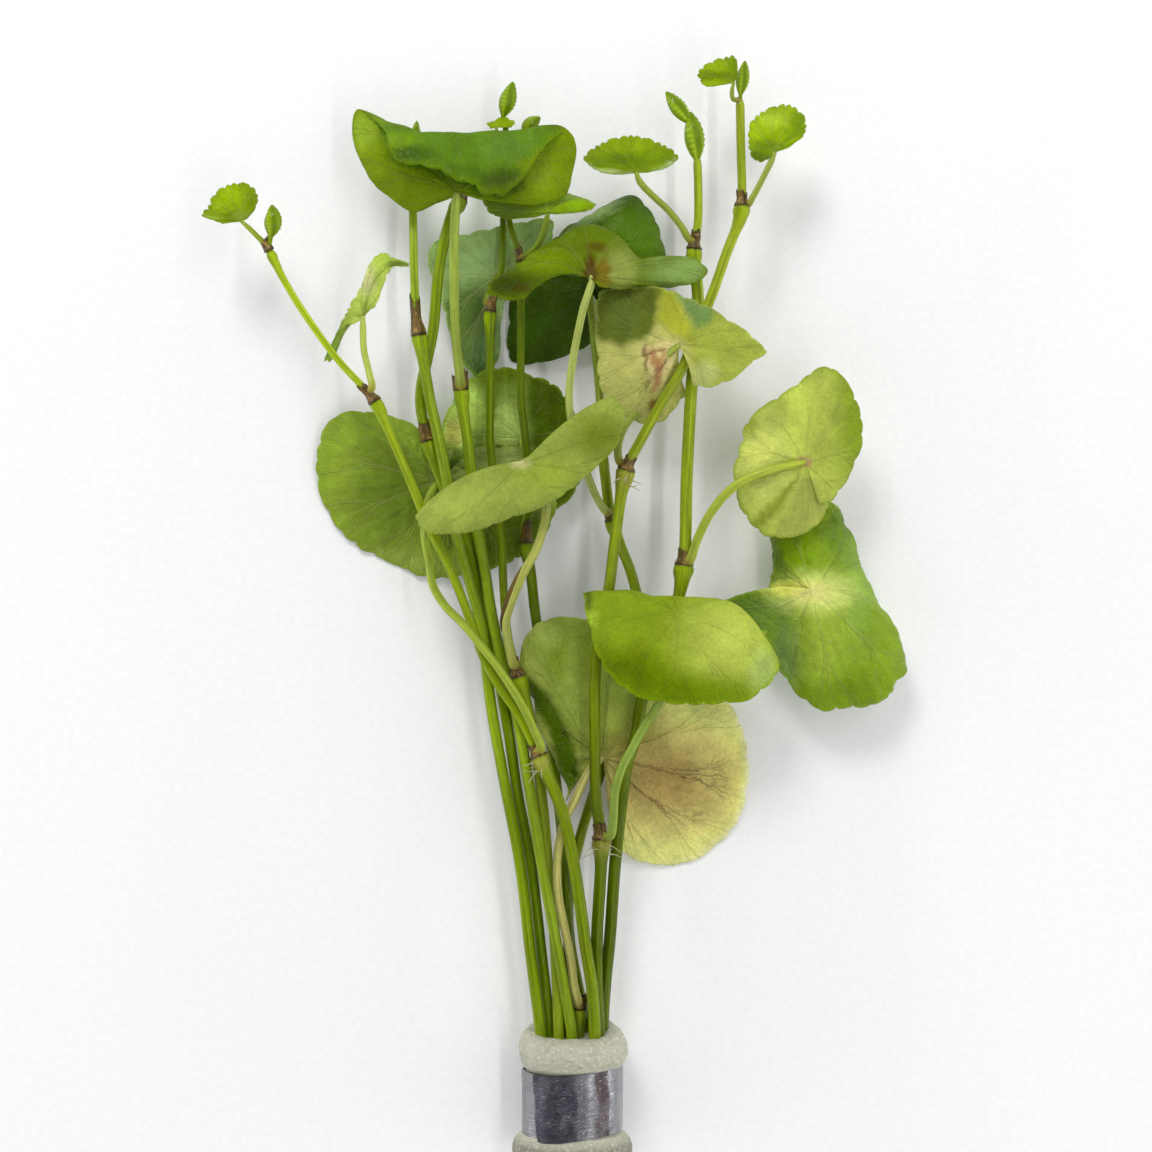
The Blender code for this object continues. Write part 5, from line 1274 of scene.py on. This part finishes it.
def make_leaf(name, leaf, materials):
    look = LOOKS[name]
    shape = Shape()
    blade(shape, name, leaf, look)
    parent = stem_line(STEMS[leaf["grows_from"]])
    points = [place(p) for p in leaf["stalk"]]
    root = parent[np.argmin(np.linalg.norm(parent - points[0], axis=1))]
    line = resampled([root] + points, STALK_STEP)
    run = run_along(line)
    radii = np.full(len(line), float(leaf["stalk_radius"]))
    radii *= 1 + 0.35 * np.exp(-run / 1.5)
    radii *= 1 - 0.35 * step_up(run, run[-1] - 2.0, run[-1])
    turn = np.arange(STALK_SIDES)[:, None] * 2 * math.pi / STALK_SIDES
    ridges = 1 + 0.02 * np.cos(5 * turn) + 0.02 * ripple(line, 6.0, 2.0)[None]
    tint = skin(look["stalk"] * (0.92 + 0.08 * ripple(line, 14.0, 3.0))[:, None])
    line[:, 2] -= look.get("sunk", 0.0) * step_up(run, run[-1] - 2.5, run[-1])
    foot = np.exp(-(run / 1.8)**2)[:, None] * 0.8
    tint = tint * (1 - foot) + HUSK * foot
    sweep(shape, line, radii[None] * ridges, STALK_SIDES, tint, 1)
    if "strip" in look:
        first, last, side = look["strip"]
        part = line[nearest(line, *first):nearest(line, *last)].copy()
        part[:, 0] += side
        share = np.linspace(0.0, 1.0, len(part))
        wide = 0.62 * np.sin(math.pi * share)**0.6 + 0.08
        colour = HUSK_DARK + (srgb(128, 104, 52) - HUSK_DARK) * share[:, None]
        sweep(shape, part, wide, 10, colour, 1, flat=0.8)
    piece = shape.build("fine_" + name, materials)
    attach(piece, "root")
    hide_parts(name)


def ring_at(turn, radius, hole, share, y):
    """Section of the collar: from its round outside to its flattened hole."""
    s, c = np.sin(turn), -np.cos(turn)
    size = (np.abs(s)**3 + np.abs(c)**3)**(-1 / 3)
    outside = np.stack([COLLAR_X + radius * s, COLLAR_Z + radius * c], axis=-1)
    inside = np.stack([
        HOLE_X + HOLE_HALF_WIDTH * hole * s * size, HOLE_Z + HOLE_HALF_HEIGHT * hole * c * size,
    ], axis=-1)
    flat = outside * (1 - share) + inside * share
    return np.stack([flat[:, 0], np.full(len(turn), y), flat[:, 1]], axis=-1)


def make_foam(materials):
    """Soft sponge collar, closed round the stems at both ends."""
    low, high = BAND_Y
    tight = BAND_RADIUS - BAND_THICKNESS - 0.15
    # y, outer radius, size of the hole, and how far in from the outside
    profile = [
        (-105.6, 0, 0.02, 1), (-105.6, 0, 0.5, 1), (-105.7, 0, 0.9, 1), (-106.4, 0, 1.02, 1),
        (-106.6, 9, 1.1, 0.5), (-106.4, 10.2, 1, 0), (-105.4, 10.8, 1, 0), (-103.6, 10.9, 1, 0),
        (-102.2, 10.4, 1, 0), (low - 0.2, 9.3, 1, 0), (low + 0.6, tight, 1, 0),
        (high - 0.6, tight, 1, 0), (high + 0.3, 9.2, 1, 0), (high + 1.6, 9.8, 1, 0),
        (high + 3.4, 9.9, 1, 0), (high + 4.8, 9.5, 1, 0), (high + 5.7, 8.9, 1, 0.04),
        (high + 6.2, 8.5, 1, 0.3), (high + 6.3, 8.2, 0.92, 0.8), (high + 6.0, 8, 0.84, 1),
        (high + 5.5, 8, 0.8, 1), (high + 5.2, 8, 0.6, 1), (high + 5.1, 8, 0.3, 1),
        (high + 5.1, 8, 0.02, 1),
    ]
    keys = np.array(profile, dtype=float)
    flat = keys[:, :2] + np.stack([np.zeros(len(keys)), -keys[:, 3] * 6 + keys[:, 2] * 3], axis=1)
    knots = run_along(flat)
    rows = 150
    at = np.linspace(0.0, knots[-1], rows)
    values = np.stack([np.interp(at, knots, keys[:, k]) for k in range(4)], axis=1)
    sides = 220
    turn = (np.arange(sides) + 0.5) * 2 * math.pi / sides
    grid = np.stack([
        ring_at(turn, radius, hole, share, y) for y, radius, hole, share in values
    ], axis=1)
    out = grid - np.array([HOLE_X, 0.0, HOLE_Z]) * [1, 0, 1] - [0, -90, 0] * np.array([0, 1, 0])
    out[..., 1] = np.where(grid[..., 1] > high, (grid[..., 1] - high) * 0.8, 0.0)
    out /= np.maximum(np.linalg.norm(out, axis=-1), 1e-6)[..., None]
    held = step_up(grid[..., 1], low - 1.5, low) * (1 - step_up(grid[..., 1], high, high + 1.5))
    lumps = 0.28 * ripple(grid, 7.0, 3.0) + 0.12 * ripple(grid, 2.3, 5.0)
    lumps += 0.05 * ripple(grid, 1.1, 8.0)
    dice = np.random.default_rng(5)
    pits = dice.random((sides, rows))
    lumps += np.where(pits > 0.9, -0.16, 0.04 * pits)
    grid = grid + out * (lumps * (1 - 0.9 * held))[..., None]
    # the mouth leans back, so more of its lower side shows
    mouth = step_up(grid[..., 1], high + 1.0, high + 5.0)
    height = grid[..., 2] - COLLAR_Z
    grid[..., 1] -= mouth * np.where(height > 0, 0.11, 0.22) * height
    grid[..., 2] = np.maximum(grid[..., 2], CLEAR_OF_SURFACE)
    shape = Shape()
    # painted shade: a fifth darker inside the hole, and darker towards the cut end below the band, down to 0.46 of the
    # colour
    deep = step_up(values[:, 3], 0.8, 1.0)[None, :, None]
    shaded = step_up(grid[..., 1], -103.0, -101.2)[..., None]
    tint = FOAM * (1 - 0.2 * deep) * (0.46 + 0.54 * shaded)
    ids = shape.spots(grid, tint)
    spread = np.zeros((sides + 1, rows, 2))
    shape.sheet(ids, spread, 0, turned=True, closed=True)
    for end, turned in ((0, False), (-1, True)):
        middle = shape.spots(grid[:, end].mean(axis=0)[None], tint[0, end])[0]
        disc = np.stack([ids[:, end], np.full(sides, middle)], axis=1)
        shape.sheet(disc, spread[:, :2], 0, turned, closed=True)
    piece = shape.build("fine_foam_collar", materials)
    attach(piece, "root")
    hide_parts("foam_collar")


FOAM = srgb(190, 190, 170)

# The lead strip: where its outer end lies, in degrees from the top, how far it
# covers its inner end, and how much the wrapped strip leans.
STRIP_END = -47.0
STRIP_SLANT = 12.0
STRIP_LAP = 24.0
STRIP_LEAN = 0.075
LEAD = srgb(148, 148, 152)
# painted reflections on the metal: a dark one from the room above and a warm one from its right
LEAD_DARK_REFLECTION = srgb(62, 62, 70)
LEAD_WARM_REFLECTION = srgb(84, 74, 73)


def make_band(materials):
    """Soft lead strip wrapped once round the collar, one end over the other."""
    low, high = BAND_Y
    steps, columns = 300, 34
    share = np.linspace(0.0, 1.0, steps)[:, None]
    up = np.linspace(0.0, 1.0, columns)[None]
    slant = STRIP_SLANT * (0.5 - up)
    start = STRIP_END + slant
    finish = STRIP_END + 360 + STRIP_LAP
    degrees = start + (finish - start) * share
    lifted = 1 - step_up(degrees - start, STRIP_LAP + 2, STRIP_LAP + 16)
    turn = np.radians(degrees)
    outer_radius = BAND_RADIUS - BAND_THICKNESS + 0.5 + 0.42 * lifted
    dents = 0.09 * np.cos(5 * turn + 1.2) + 0.05 * np.cos(11 * turn + 3.0 * up)
    layers = []
    for depth in (0.0, -0.36):
        radius = outer_radius + dents + depth
        y = low + (high - low) * up + 0.1 * np.sin(3 * turn + 5 * up)
        x = COLLAR_X + radius * np.sin(turn)
        z = COLLAR_Z + radius * np.cos(turn)
        y = y + STRIP_LEAN * (x - COLLAR_X)
        grid = np.stack([x, y, z], axis=-1)
        out = np.stack([np.sin(turn), 0 * turn, np.cos(turn)], axis=-1)
        grid = grid + out * (0.05 * ripple(grid, 6.0, 2.0) + 0.02 * ripple(grid, 1.7, 4.0))[..., None]
        grid[..., 2] = np.maximum(grid[..., 2], CLEAR_OF_SURFACE - depth * 0.5)
        layers.append(grid)
    shape = Shape()
    # painted reflections: the metal's colour is dark where it would mirror the dark room above, warm where it would
    # mirror something warm to its right, and streaked round the band
    place_on = degrees - 360 * (degrees > 180) + 1.5 * np.sin(9 * up) + 3 * up
    dark = step_up(place_on, -46, -43) * (1 - 0.55 * step_up(place_on, 2, 10))
    dark = dark * (1 - step_up(place_on, 12, 24))
    warm_reflection = step_up(place_on, 25, 33) * (1 - step_up(place_on, 45, 49))
    tint = LEAD + (LEAD_DARK_REFLECTION - LEAD) * dark[..., None]
    tint = tint + (LEAD_WARM_REFLECTION - tint) * warm_reflection[..., None]
    reflection_streaks = ripple(layers[0] * np.array([3.0, 0.2, 3.0]), 6.0, 6.0)
    tint = tint * (1 + 0.3 * reflection_streaks[..., None])
    spread = np.stack([share * 6 + 0 * up, 0 * share + up * 1.2], axis=-1)
    outer = shape.spots(layers[0], tint)
    inner = shape.spots(layers[1], tint)
    shape.sheet(outer, spread, 0, turned=True)
    shape.sheet(inner, spread, 0)
    for edge in (0, -1):
        pair = np.stack([outer[:, edge], inner[:, edge]], axis=1)
        shape.sheet(pair, np.stack([spread[:, edge]] * 2, axis=1), 0, turned=edge == 0)
        pair = np.stack([outer[edge], inner[edge]], axis=1)
        shape.sheet(pair, np.stack([spread[edge]] * 2, axis=1), 0, turned=edge == -1)
    piece = shape.build("fine_lead_band", materials)
    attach(piece, "root")
    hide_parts("lead_band")


class Graph:
    """Small helper that adds nodes to a material and joins them."""

    def __init__(self, name):
        self.material = bpy.data.materials.new(name)
        self.material.use_nodes = True
        self.tree = self.material.node_tree
        self.shader = self.tree.nodes["Principled BSDF"]
        self.output = self.tree.nodes["Material Output"]

    def join(self, value, socket):
        if isinstance(value, bpy.types.NodeSocket):
            self.tree.links.new(value, socket)
        elif isinstance(value, (int, float)):
            socket.default_value = value
        else:
            socket.default_value = tuple(value) + (1.0,) * (len(socket.default_value) - len(value))

    def add(self, kind, settings=None, **inputs):
        node = self.tree.nodes.new("ShaderNode" + kind)
        for label, value in (settings or {}).items():
            setattr(node, label, value)
        for label, value in inputs.items():
            self.join(value, node.inputs[label.replace("_", " ")])
        return node

    def math(self, operation, a, b=0.0, c=0.0):
        node = self.tree.nodes.new("ShaderNodeMath")
        node.operation = operation
        for value, socket in zip((a, b, c), node.inputs):
            self.join(value, socket)
        return node.outputs[0]

    def mix(self, share, a, b, blend="MIX"):
        node = self.tree.nodes.new("ShaderNodeMix")
        node.data_type = "RGBA"
        node.blend_type = blend
        for value, number in ((share, 0), (a, 6), (b, 7)):
            self.join(value, node.inputs[number])
        return node.outputs[2]

    def step(self, value, low, high, start=0.0, end=1.0):
        node = self.add("MapRange", {"interpolation_type": "SMOOTHSTEP"})
        for number, item in enumerate((value, low, high, start, end)):
            self.join(item, node.inputs[number])
        return node.outputs[0]

    def noise(self, where, scale, detail=3.0, rough=0.55):
        return self.add("TexNoise", Vector=where, Scale=scale, Detail=detail,
                        Roughness=rough).outputs["Fac"]

    def cells(self, where, scale, feature="F1"):
        node = self.add("TexVoronoi", {"feature": feature}, Vector=where, Scale=scale)
        return node.outputs["Distance"]

    def place(self):
        return self.add("TexCoord").outputs["Object"]

    def stretched(self, where, scale):
        node = self.add("Mapping", Vector=where)
        node.inputs["Scale"].default_value = scale
        return node.outputs[0]

    def attribute(self, name):
        return self.add("Attribute", {"attribute_name": name}).outputs["Color"]

    def parts(self, vector):
        node = self.add("SeparateXYZ", Vector=vector)
        return node.outputs

    def bump(self, height, distance, strength=1.0, normal=None):
        node = self.add("Bump", Height=height, Distance=distance, Strength=strength)
        if normal is not None:
            self.join(normal, node.inputs["Normal"])
        return node.outputs[0]

    def set(self, **inputs):
        for label, value in inputs.items():
            self.join(value, self.shader.inputs[label.replace("_", " ")])


def leaf_material(name, gloss):
    """Wet leaf: branching veins, small cells, soft mottling, browned patches."""
    g = Graph(name)
    where = g.place()
    u, r, _ = g.parts(g.add("UVMap", {"uv_map": "spread"}).outputs[0])
    veins, browned, width = g.parts(g.attribute("marks"))
    tint = g.attribute("tint")
    span = g.math("MULTIPLY", width, 20.0)
    far = g.math("MULTIPLY", span, r)

    # distance in millimetres from the nearest vein, with two partings
    sway = g.math("MULTIPLY", g.math("SUBTRACT", g.noise(where, 260.0), 0.5), 0.16)
    fraction = g.math("FRACT", g.math("ADD", u, sway))
    beside_main = g.math("SUBTRACT", fraction, 0.5)
    main = g.math("ABSOLUTE", beside_main)
    opening = g.step(r, 0.35, 1.0, 0.0, 0.27)
    beside_fork = g.math("SUBTRACT", main, opening)
    fork = g.math("ABSOLUTE", beside_fork)
    twig_opening = g.step(r, 0.6, 1.05, 0.0, 0.12)
    beside_twig = g.math("SUBTRACT", fork, twig_opening)
    twig = g.math("ABSOLUTE", beside_twig)
    main_line = g.step(g.math("MULTIPLY", main, far), 0.07, 0.3, 1.0, 0.0)
    fork_line = g.step(g.math("MULTIPLY", fork, far), 0.05, 0.22, 0.8, 0.0)
    twig_line = g.step(g.math("MULTIPLY", twig, far), 0.03, 0.16, 0.5, 0.0)
    fading = g.step(r, 0.5, 0.85, 1.0, 0.25)
    line = g.math("MAXIMUM", g.math("MULTIPLY", main_line, fading),
                  g.math("MAXIMUM", fork_line, twig_line))
    net = g.step(g.cells(where, 900.0, "DISTANCE_TO_EDGE"), 0.0, 0.16, 1.0, 0.0)

    mottle = g.noise(where, 190.0, 4.0)
    shade = g.step(mottle, 0.3, 0.7, 0.86, 1.1)
    grain = g.step(g.noise(where, 1500.0, 2.0), 0.3, 0.7, 0.94, 1.05)
    rays = g.noise(g.stretched(g.add("CombineXYZ", X=u, Y=r).outputs[0], (7.0, 1.1, 1.0)), 1.0)
    shade = g.math("MULTIPLY", shade, grain)
    lined = g.step(veins, 0.0, 0.3)
    rays = g.math("MULTIPLY", g.math("SUBTRACT", rays, 0.5), g.math("MULTIPLY", lined, 0.5))
    shade = g.math("MULTIPLY", shade, g.math("ADD", rays, 1.0))
    colour = g.mix(1.0, tint, g.add("CombineXYZ", X=shade, Y=shade, Z=shade).outputs[0],
                   "MULTIPLY")
    vein_colour = g.mix(0.5, colour, srgb(205, 210, 140))
    colour = g.mix(g.math("MULTIPLY", line, veins), colour, vein_colour)
    colour = g.mix(g.math("MULTIPLY", net, g.math("MULTIPLY", veins, 0.25)), colour, vein_colour)
    # browned parts show thin dark veins, like twigs, and faint blotches
    spots = g.step(g.noise(where, 420.0, 5.0, 0.7), 0.5, 0.62)
    bent = g.math("MULTIPLY", g.math("SUBTRACT", g.noise(where, 420.0, 3.0), 0.5), 3.0)
    dark = 0.0
    for beside, sway_share, wide in ((beside_main, 0.45, 0.15), (beside_fork, 0.8, 0.13),
                                     (beside_twig, -1.2, 0.11)):
        off = g.math("ADD", g.math("MULTIPLY", beside, far),
                     g.math("MULTIPLY", bent, sway_share))
        line_here = g.step(g.math("ABSOLUTE", off), 0.3 * wide, wide, 1.0, 0.0)
        dark = g.math("MAXIMUM", dark, line_here)
    cracks = g.step(g.cells(g.stretched(where, (1.0, 1.6, 1.0)), 420.0, "DISTANCE_TO_EDGE"),
                    0.0, 0.05, 0.7, 0.0)
    cracks = g.math("MULTIPLY", cracks, g.step(g.noise(where, 220.0), 0.5, 0.56))
    dark = g.math("MULTIPLY", g.math("MAXIMUM", dark, cracks),
                  g.step(g.noise(where, 300.0, 2.0), 0.36, 0.5, 0.35, 1.0))
    burnt = g.math("MAXIMUM", g.math("MULTIPLY", spots, 0.3), dark)
    burnt = g.math("MULTIPLY", g.step(browned, 0.0, 0.4), burnt)
    colour = g.mix(g.math("MULTIPLY", burnt, 0.62), colour, srgb(112, 72, 44))

    film = g.noise(where, 330.0, 2.0)
    normal = g.bump(g.math("ADD", line, g.math("MULTIPLY", net, 0.4)), 0.0002, 0.8)
    normal = g.bump(film, 0.0006, 0.35, normal)
    g.set(Base_Color=colour, Roughness=g.step(mottle, 0.3, 0.7, 0.5, 0.36), Normal=normal)
    g.set(Coat_Weight=gloss, Coat_Roughness=0.06, Specular_IOR_Level=0.15)
    g.set(Specular_Tint=srgb(210, 255, 90))
    g.set(Coat_Normal=g.bump(g.noise(where, 800.0, 2.0), 0.0006, 0.7, normal))
    glow = g.mix(1.0, colour, srgb(255, 255, 150), "MULTIPLY")
    through = g.add("BsdfTranslucent", Color=g.mix(0.35, glow, colour), Normal=normal)
    mixed = g.add("MixShader")
    mixed.inputs[0].default_value = 0.35
    g.join(g.shader.outputs[0], mixed.inputs[1])
    g.join(through.outputs[0], mixed.inputs[2])
    g.join(mixed.outputs[0], g.output.inputs["Surface"])
    return g.material


# How strongly the wet film shows on each kind of leaf skin.
GLOSS = {"dull": 0.04, "satin": 0.18, "wet": 0.4}


def stem_material():
    """Wet round stem: fine lengthwise streaks and a thin glossy film."""
    g = Graph("stem_skin")
    where = g.place()
    run = g.add("UVMap", {"uv_map": "spread"}).outputs[0]
    streaks = g.noise(g.stretched(run, (26.0, 1.6, 1.0)), 1.0, 3.0)
    bands = g.noise(g.stretched(run, (5.0, 0.35, 1.0)), 1.0, 1.0)
    flecks = g.noise(where, 700.0, 4.0, 0.7)
    shade = g.math("MULTIPLY", g.step(streaks, 0.3, 0.7, 0.84, 1.14),
                   g.step(flecks, 0.35, 0.7, 1.03, 0.9))
    shade = g.math("MULTIPLY", shade, g.step(bands, 0.35, 0.65, 0.76, 1.18))
    grey = g.add("CombineXYZ", X=shade, Y=shade, Z=shade).outputs[0]
    colour = g.mix(1.0, g.attribute("tint"), grey, "MULTIPLY")
    colour = g.mix(g.step(flecks, 0.66, 0.74, 0.0, 0.35), colour, srgb(120, 96, 48))
    normal = g.bump(streaks, 0.00012, 0.6)
    normal = g.bump(g.noise(where, 420.0, 2.0), 0.0004, 0.4, normal)
    g.set(Base_Color=colour, Roughness=g.step(streaks, 0.3, 0.7, 0.32, 0.42), Normal=normal)
    g.set(Coat_Weight=0.3, Coat_Roughness=0.05, Specular_IOR_Level=0.04)
    g.set(Specular_Tint=srgb(210, 255, 90))
    g.set(Coat_Normal=g.bump(g.noise(where, 600.0, 2.0), 0.0003, 0.5, normal))
    g.set(Subsurface_Weight=0.12, Subsurface_Scale=0.001)
    return g.material


def husk_material():
    """Dry papery sheath, streaked lengthwise."""
    g = Graph("husk")
    where = g.place()
    run = g.add("UVMap", {"uv_map": "spread"}).outputs[0]
    fibres = g.noise(g.stretched(run, (30.0, 3.0, 1.0)), 1.0, 4.0, 0.6)
    patches = g.noise(where, 900.0, 3.0)
    colour = g.mix(g.step(fibres, 0.4, 0.65, 0.0, 0.7), g.attribute("tint"), srgb(44, 32, 8))
    colour = g.mix(g.step(patches, 0.56, 0.68, 0.0, 0.6), colour, srgb(176, 142, 72))
    g.set(Base_Color=colour, Roughness=g.step(patches, 0.3, 0.7, 0.6, 0.35))
    g.set(Normal=g.bump(fibres, 0.0003, 0.8), Coat_Weight=0.6, Coat_Roughness=0.1)
    g.set(Coat_Normal=g.bump(g.noise(where, 1100.0, 2.0), 0.0005, 0.8))
    g.set(Specular_IOR_Level=0.2, Specular_Tint=srgb(255, 220, 140))
    return g.material


def foam_material():
    """Fine open sponge, pale grey-green and damp."""
    g = Graph("sponge")
    where = g.place()
    pores = g.noise(where, 1700.0, 6.0, 0.75)
    wide = g.noise(where, 220.0, 3.0)
    grit = g.noise(where, 3600.0, 2.0)
    colour = g.mix(g.step(pores, 0.5, 0.66, 0.0, 0.7), g.attribute("tint"), srgb(232, 230, 214))
    colour = g.mix(g.step(pores, 0.44, 0.34, 0.0, 0.6), colour, srgb(134, 136, 108))
    colour = g.mix(g.step(wide, 0.45, 0.7, 0.0, 0.3), colour, srgb(158, 160, 132))
    height = g.math("ADD", g.math("MULTIPLY", pores, 1.2), g.math("MULTIPLY", grit, 0.4))
    g.set(Base_Color=colour, Roughness=g.step(grit, 0.4, 0.65, 0.8, 0.35))
    g.set(Normal=g.bump(height, 0.0004, 0.8), Specular_IOR_Level=0.6)
    return g.material


def lead_material():
    """Soft grey metal with rolling lines, dull scuffs and scratches."""
    g = Graph("lead_skin")
    where = g.place()
    run = g.add("UVMap", {"uv_map": "spread"}).outputs[0]
    lines = g.noise(g.stretched(run, (1.2, 60.0, 1.0)), 1.0, 4.0, 0.6)
    scuffs = g.noise(where, 260.0, 5.0, 0.6)
    scratches = g.noise(g.stretched(run, (3.0, 40.0, 1.0)), 2.0, 6.0, 0.8)
    colour = g.mix(g.step(scuffs, 0.45, 0.65, 0.0, 0.3), g.attribute("tint"), srgb(120, 120, 126))
    colour = g.mix(g.step(scratches, 0.57, 0.64, 0.0, 0.5), colour, srgb(226, 226, 230))
    colour = g.mix(g.step(lines, 0.38, 0.52, 0.45, 0.0), colour, srgb(74, 74, 82))
    rough = g.math("ADD", g.step(scuffs, 0.35, 0.7, 0.14, 0.26),
                   g.step(scratches, 0.58, 0.66, 0.0, 0.12))
    normal = g.bump(lines, 0.0003, 0.5)
    normal = g.bump(scuffs, 0.0005, 0.25, normal)
    g.set(Base_Color=colour, Metallic=1.0, Roughness=rough, Normal=normal)
    return g.material


def floor_material():
    """Plain pale studio floor with a faint soft grain."""
    g = Graph("pale_floor")
    grain = g.noise(g.place(), 900.0, 3.0)
    colour = g.mix(g.step(grain, 0.35, 0.65), srgb(248, 248, 249), srgb(245, 245, 247))
    g.set(Base_Color=colour, Roughness=0.9, Specular_IOR_Level=0.2)
    return g.material


def make_floor():
    mesh = bpy.data.meshes.new("floor")
    half = 3.0
    mesh.from_pydata(
        [(-half, -half, 0.0), (half, -half, 0.0), (half, half, 0.0), (-half, half, 0.0)],
        [], [(0, 1, 2, 3)],
    )
    floor = bpy.data.objects.new("floor", mesh)
    floor.location.z = -0.0003
    mesh.materials.append(floor_material())
    bpy.context.scene.collection.objects.link(floor)


# The light: a soft lamp up and to the left of the tips, long narrow ones that
# draw bright lines on the wet stems, and a pale room with a dark patch above.
# name, way to it, distance, width, length and watts
LAMPS = (
    ("key", (-0.35, 1.0, 1.05), 1.1, 0.34, 0.34, 4.2),
    ("strip_above", (0.34, 0.0, 0.94), 0.9, 0.03, 1.1, 1.7),
    ("strip_left", (-0.97, 0.0, 0.25), 0.9, 0.035, 1.1, 2.1),
    ("strip_right", (0.98, 0.0, 0.2), 0.9, 0.035, 1.1, 2.1),
)
ROOM_LIGHT = 0.73
# way, colour in it, and the cosines where the patch begins and is full
ROOM_PATCHES = (
    ((-0.36, 0.05, 0.93), (0.1, 0.1, 0.11), 0.84, 0.93),
)


def make_light():
    for name, way, distance, wide, long, watts in LAMPS:
        lamp = bpy.data.lights.new(name, "AREA")
        lamp.energy = watts
        lamp.shape = "RECTANGLE"
        lamp.size = wide
        lamp.size_y = long
        lamp.color = (1.0, 0.985, 0.96)
        obj = bpy.data.objects.new(name, lamp)
        way = np.array(way) / np.linalg.norm(way)
        obj.location = tuple(way * distance)
        obj.rotation_euler = (-math.asin(way[1]), math.atan2(way[0], way[2]), 0.0)
        bpy.context.scene.collection.objects.link(obj)

    world = bpy.data.worlds.new("room")
    bpy.context.scene.world = world
    world.use_nodes = True
    g = Graph.__new__(Graph)
    g.tree = world.node_tree
    back = g.tree.nodes["Background"]
    where = g.add("TexCoord").outputs["Generated"]
    colour = (0.985, 0.99, 1.0)
    for way, shade, begins, full in ROOM_PATCHES:
        near = g.add("VectorMath", {"operation": "DOT_PRODUCT"})
        g.join(where, near.inputs[0])
        near.inputs[1].default_value = tuple(np.array(way) / np.linalg.norm(way))
        colour = g.mix(g.step(near.outputs["Value"], begins, full), colour, shade)
    g.join(colour, back.inputs["Color"])
    back.inputs["Strength"].default_value = ROOM_LIGHT


def make_camera():
    """Looks straight down, with the plan view just filling the picture."""
    data = bpy.data.cameras.new("camera")
    data.sensor_width = 36.0
    plan_width = PLAN_WIDTH / PLAN_UNITS_PER_MM
    data.lens = data.sensor_width * EYE_HEIGHT / plan_width
    camera = bpy.data.objects.new("camera", data)
    camera.location = (
        ORIGIN_SHIFT[0] * MM, ORIGIN_SHIFT[1] * MM, (EYE_HEIGHT + REFERENCE_HEIGHT) * MM,
    )
    bpy.context.scene.collection.objects.link(camera)
    bpy.context.scene.camera = camera


def main():
    bpy.context.scene.view_settings.view_transform = "Standard"
    make_camera()
    make_light()
    make_floor()
    stem_skin = stem_material()
    husk = husk_material()
    leaf_skins = {gloss: leaf_material("leaf_" + gloss, weight) for gloss, weight in GLOSS.items()}
    for name, stem in STEMS.items():
        make_stem(name, stem, [stem_skin, husk])
    for name, leaf in LEAVES.items():
        make_leaf(name, leaf, [leaf_skins[LOOKS[name].get("skin", "satin")], stem_skin])
    make_foam([foam_material()])
    make_band([lead_material()])


main()
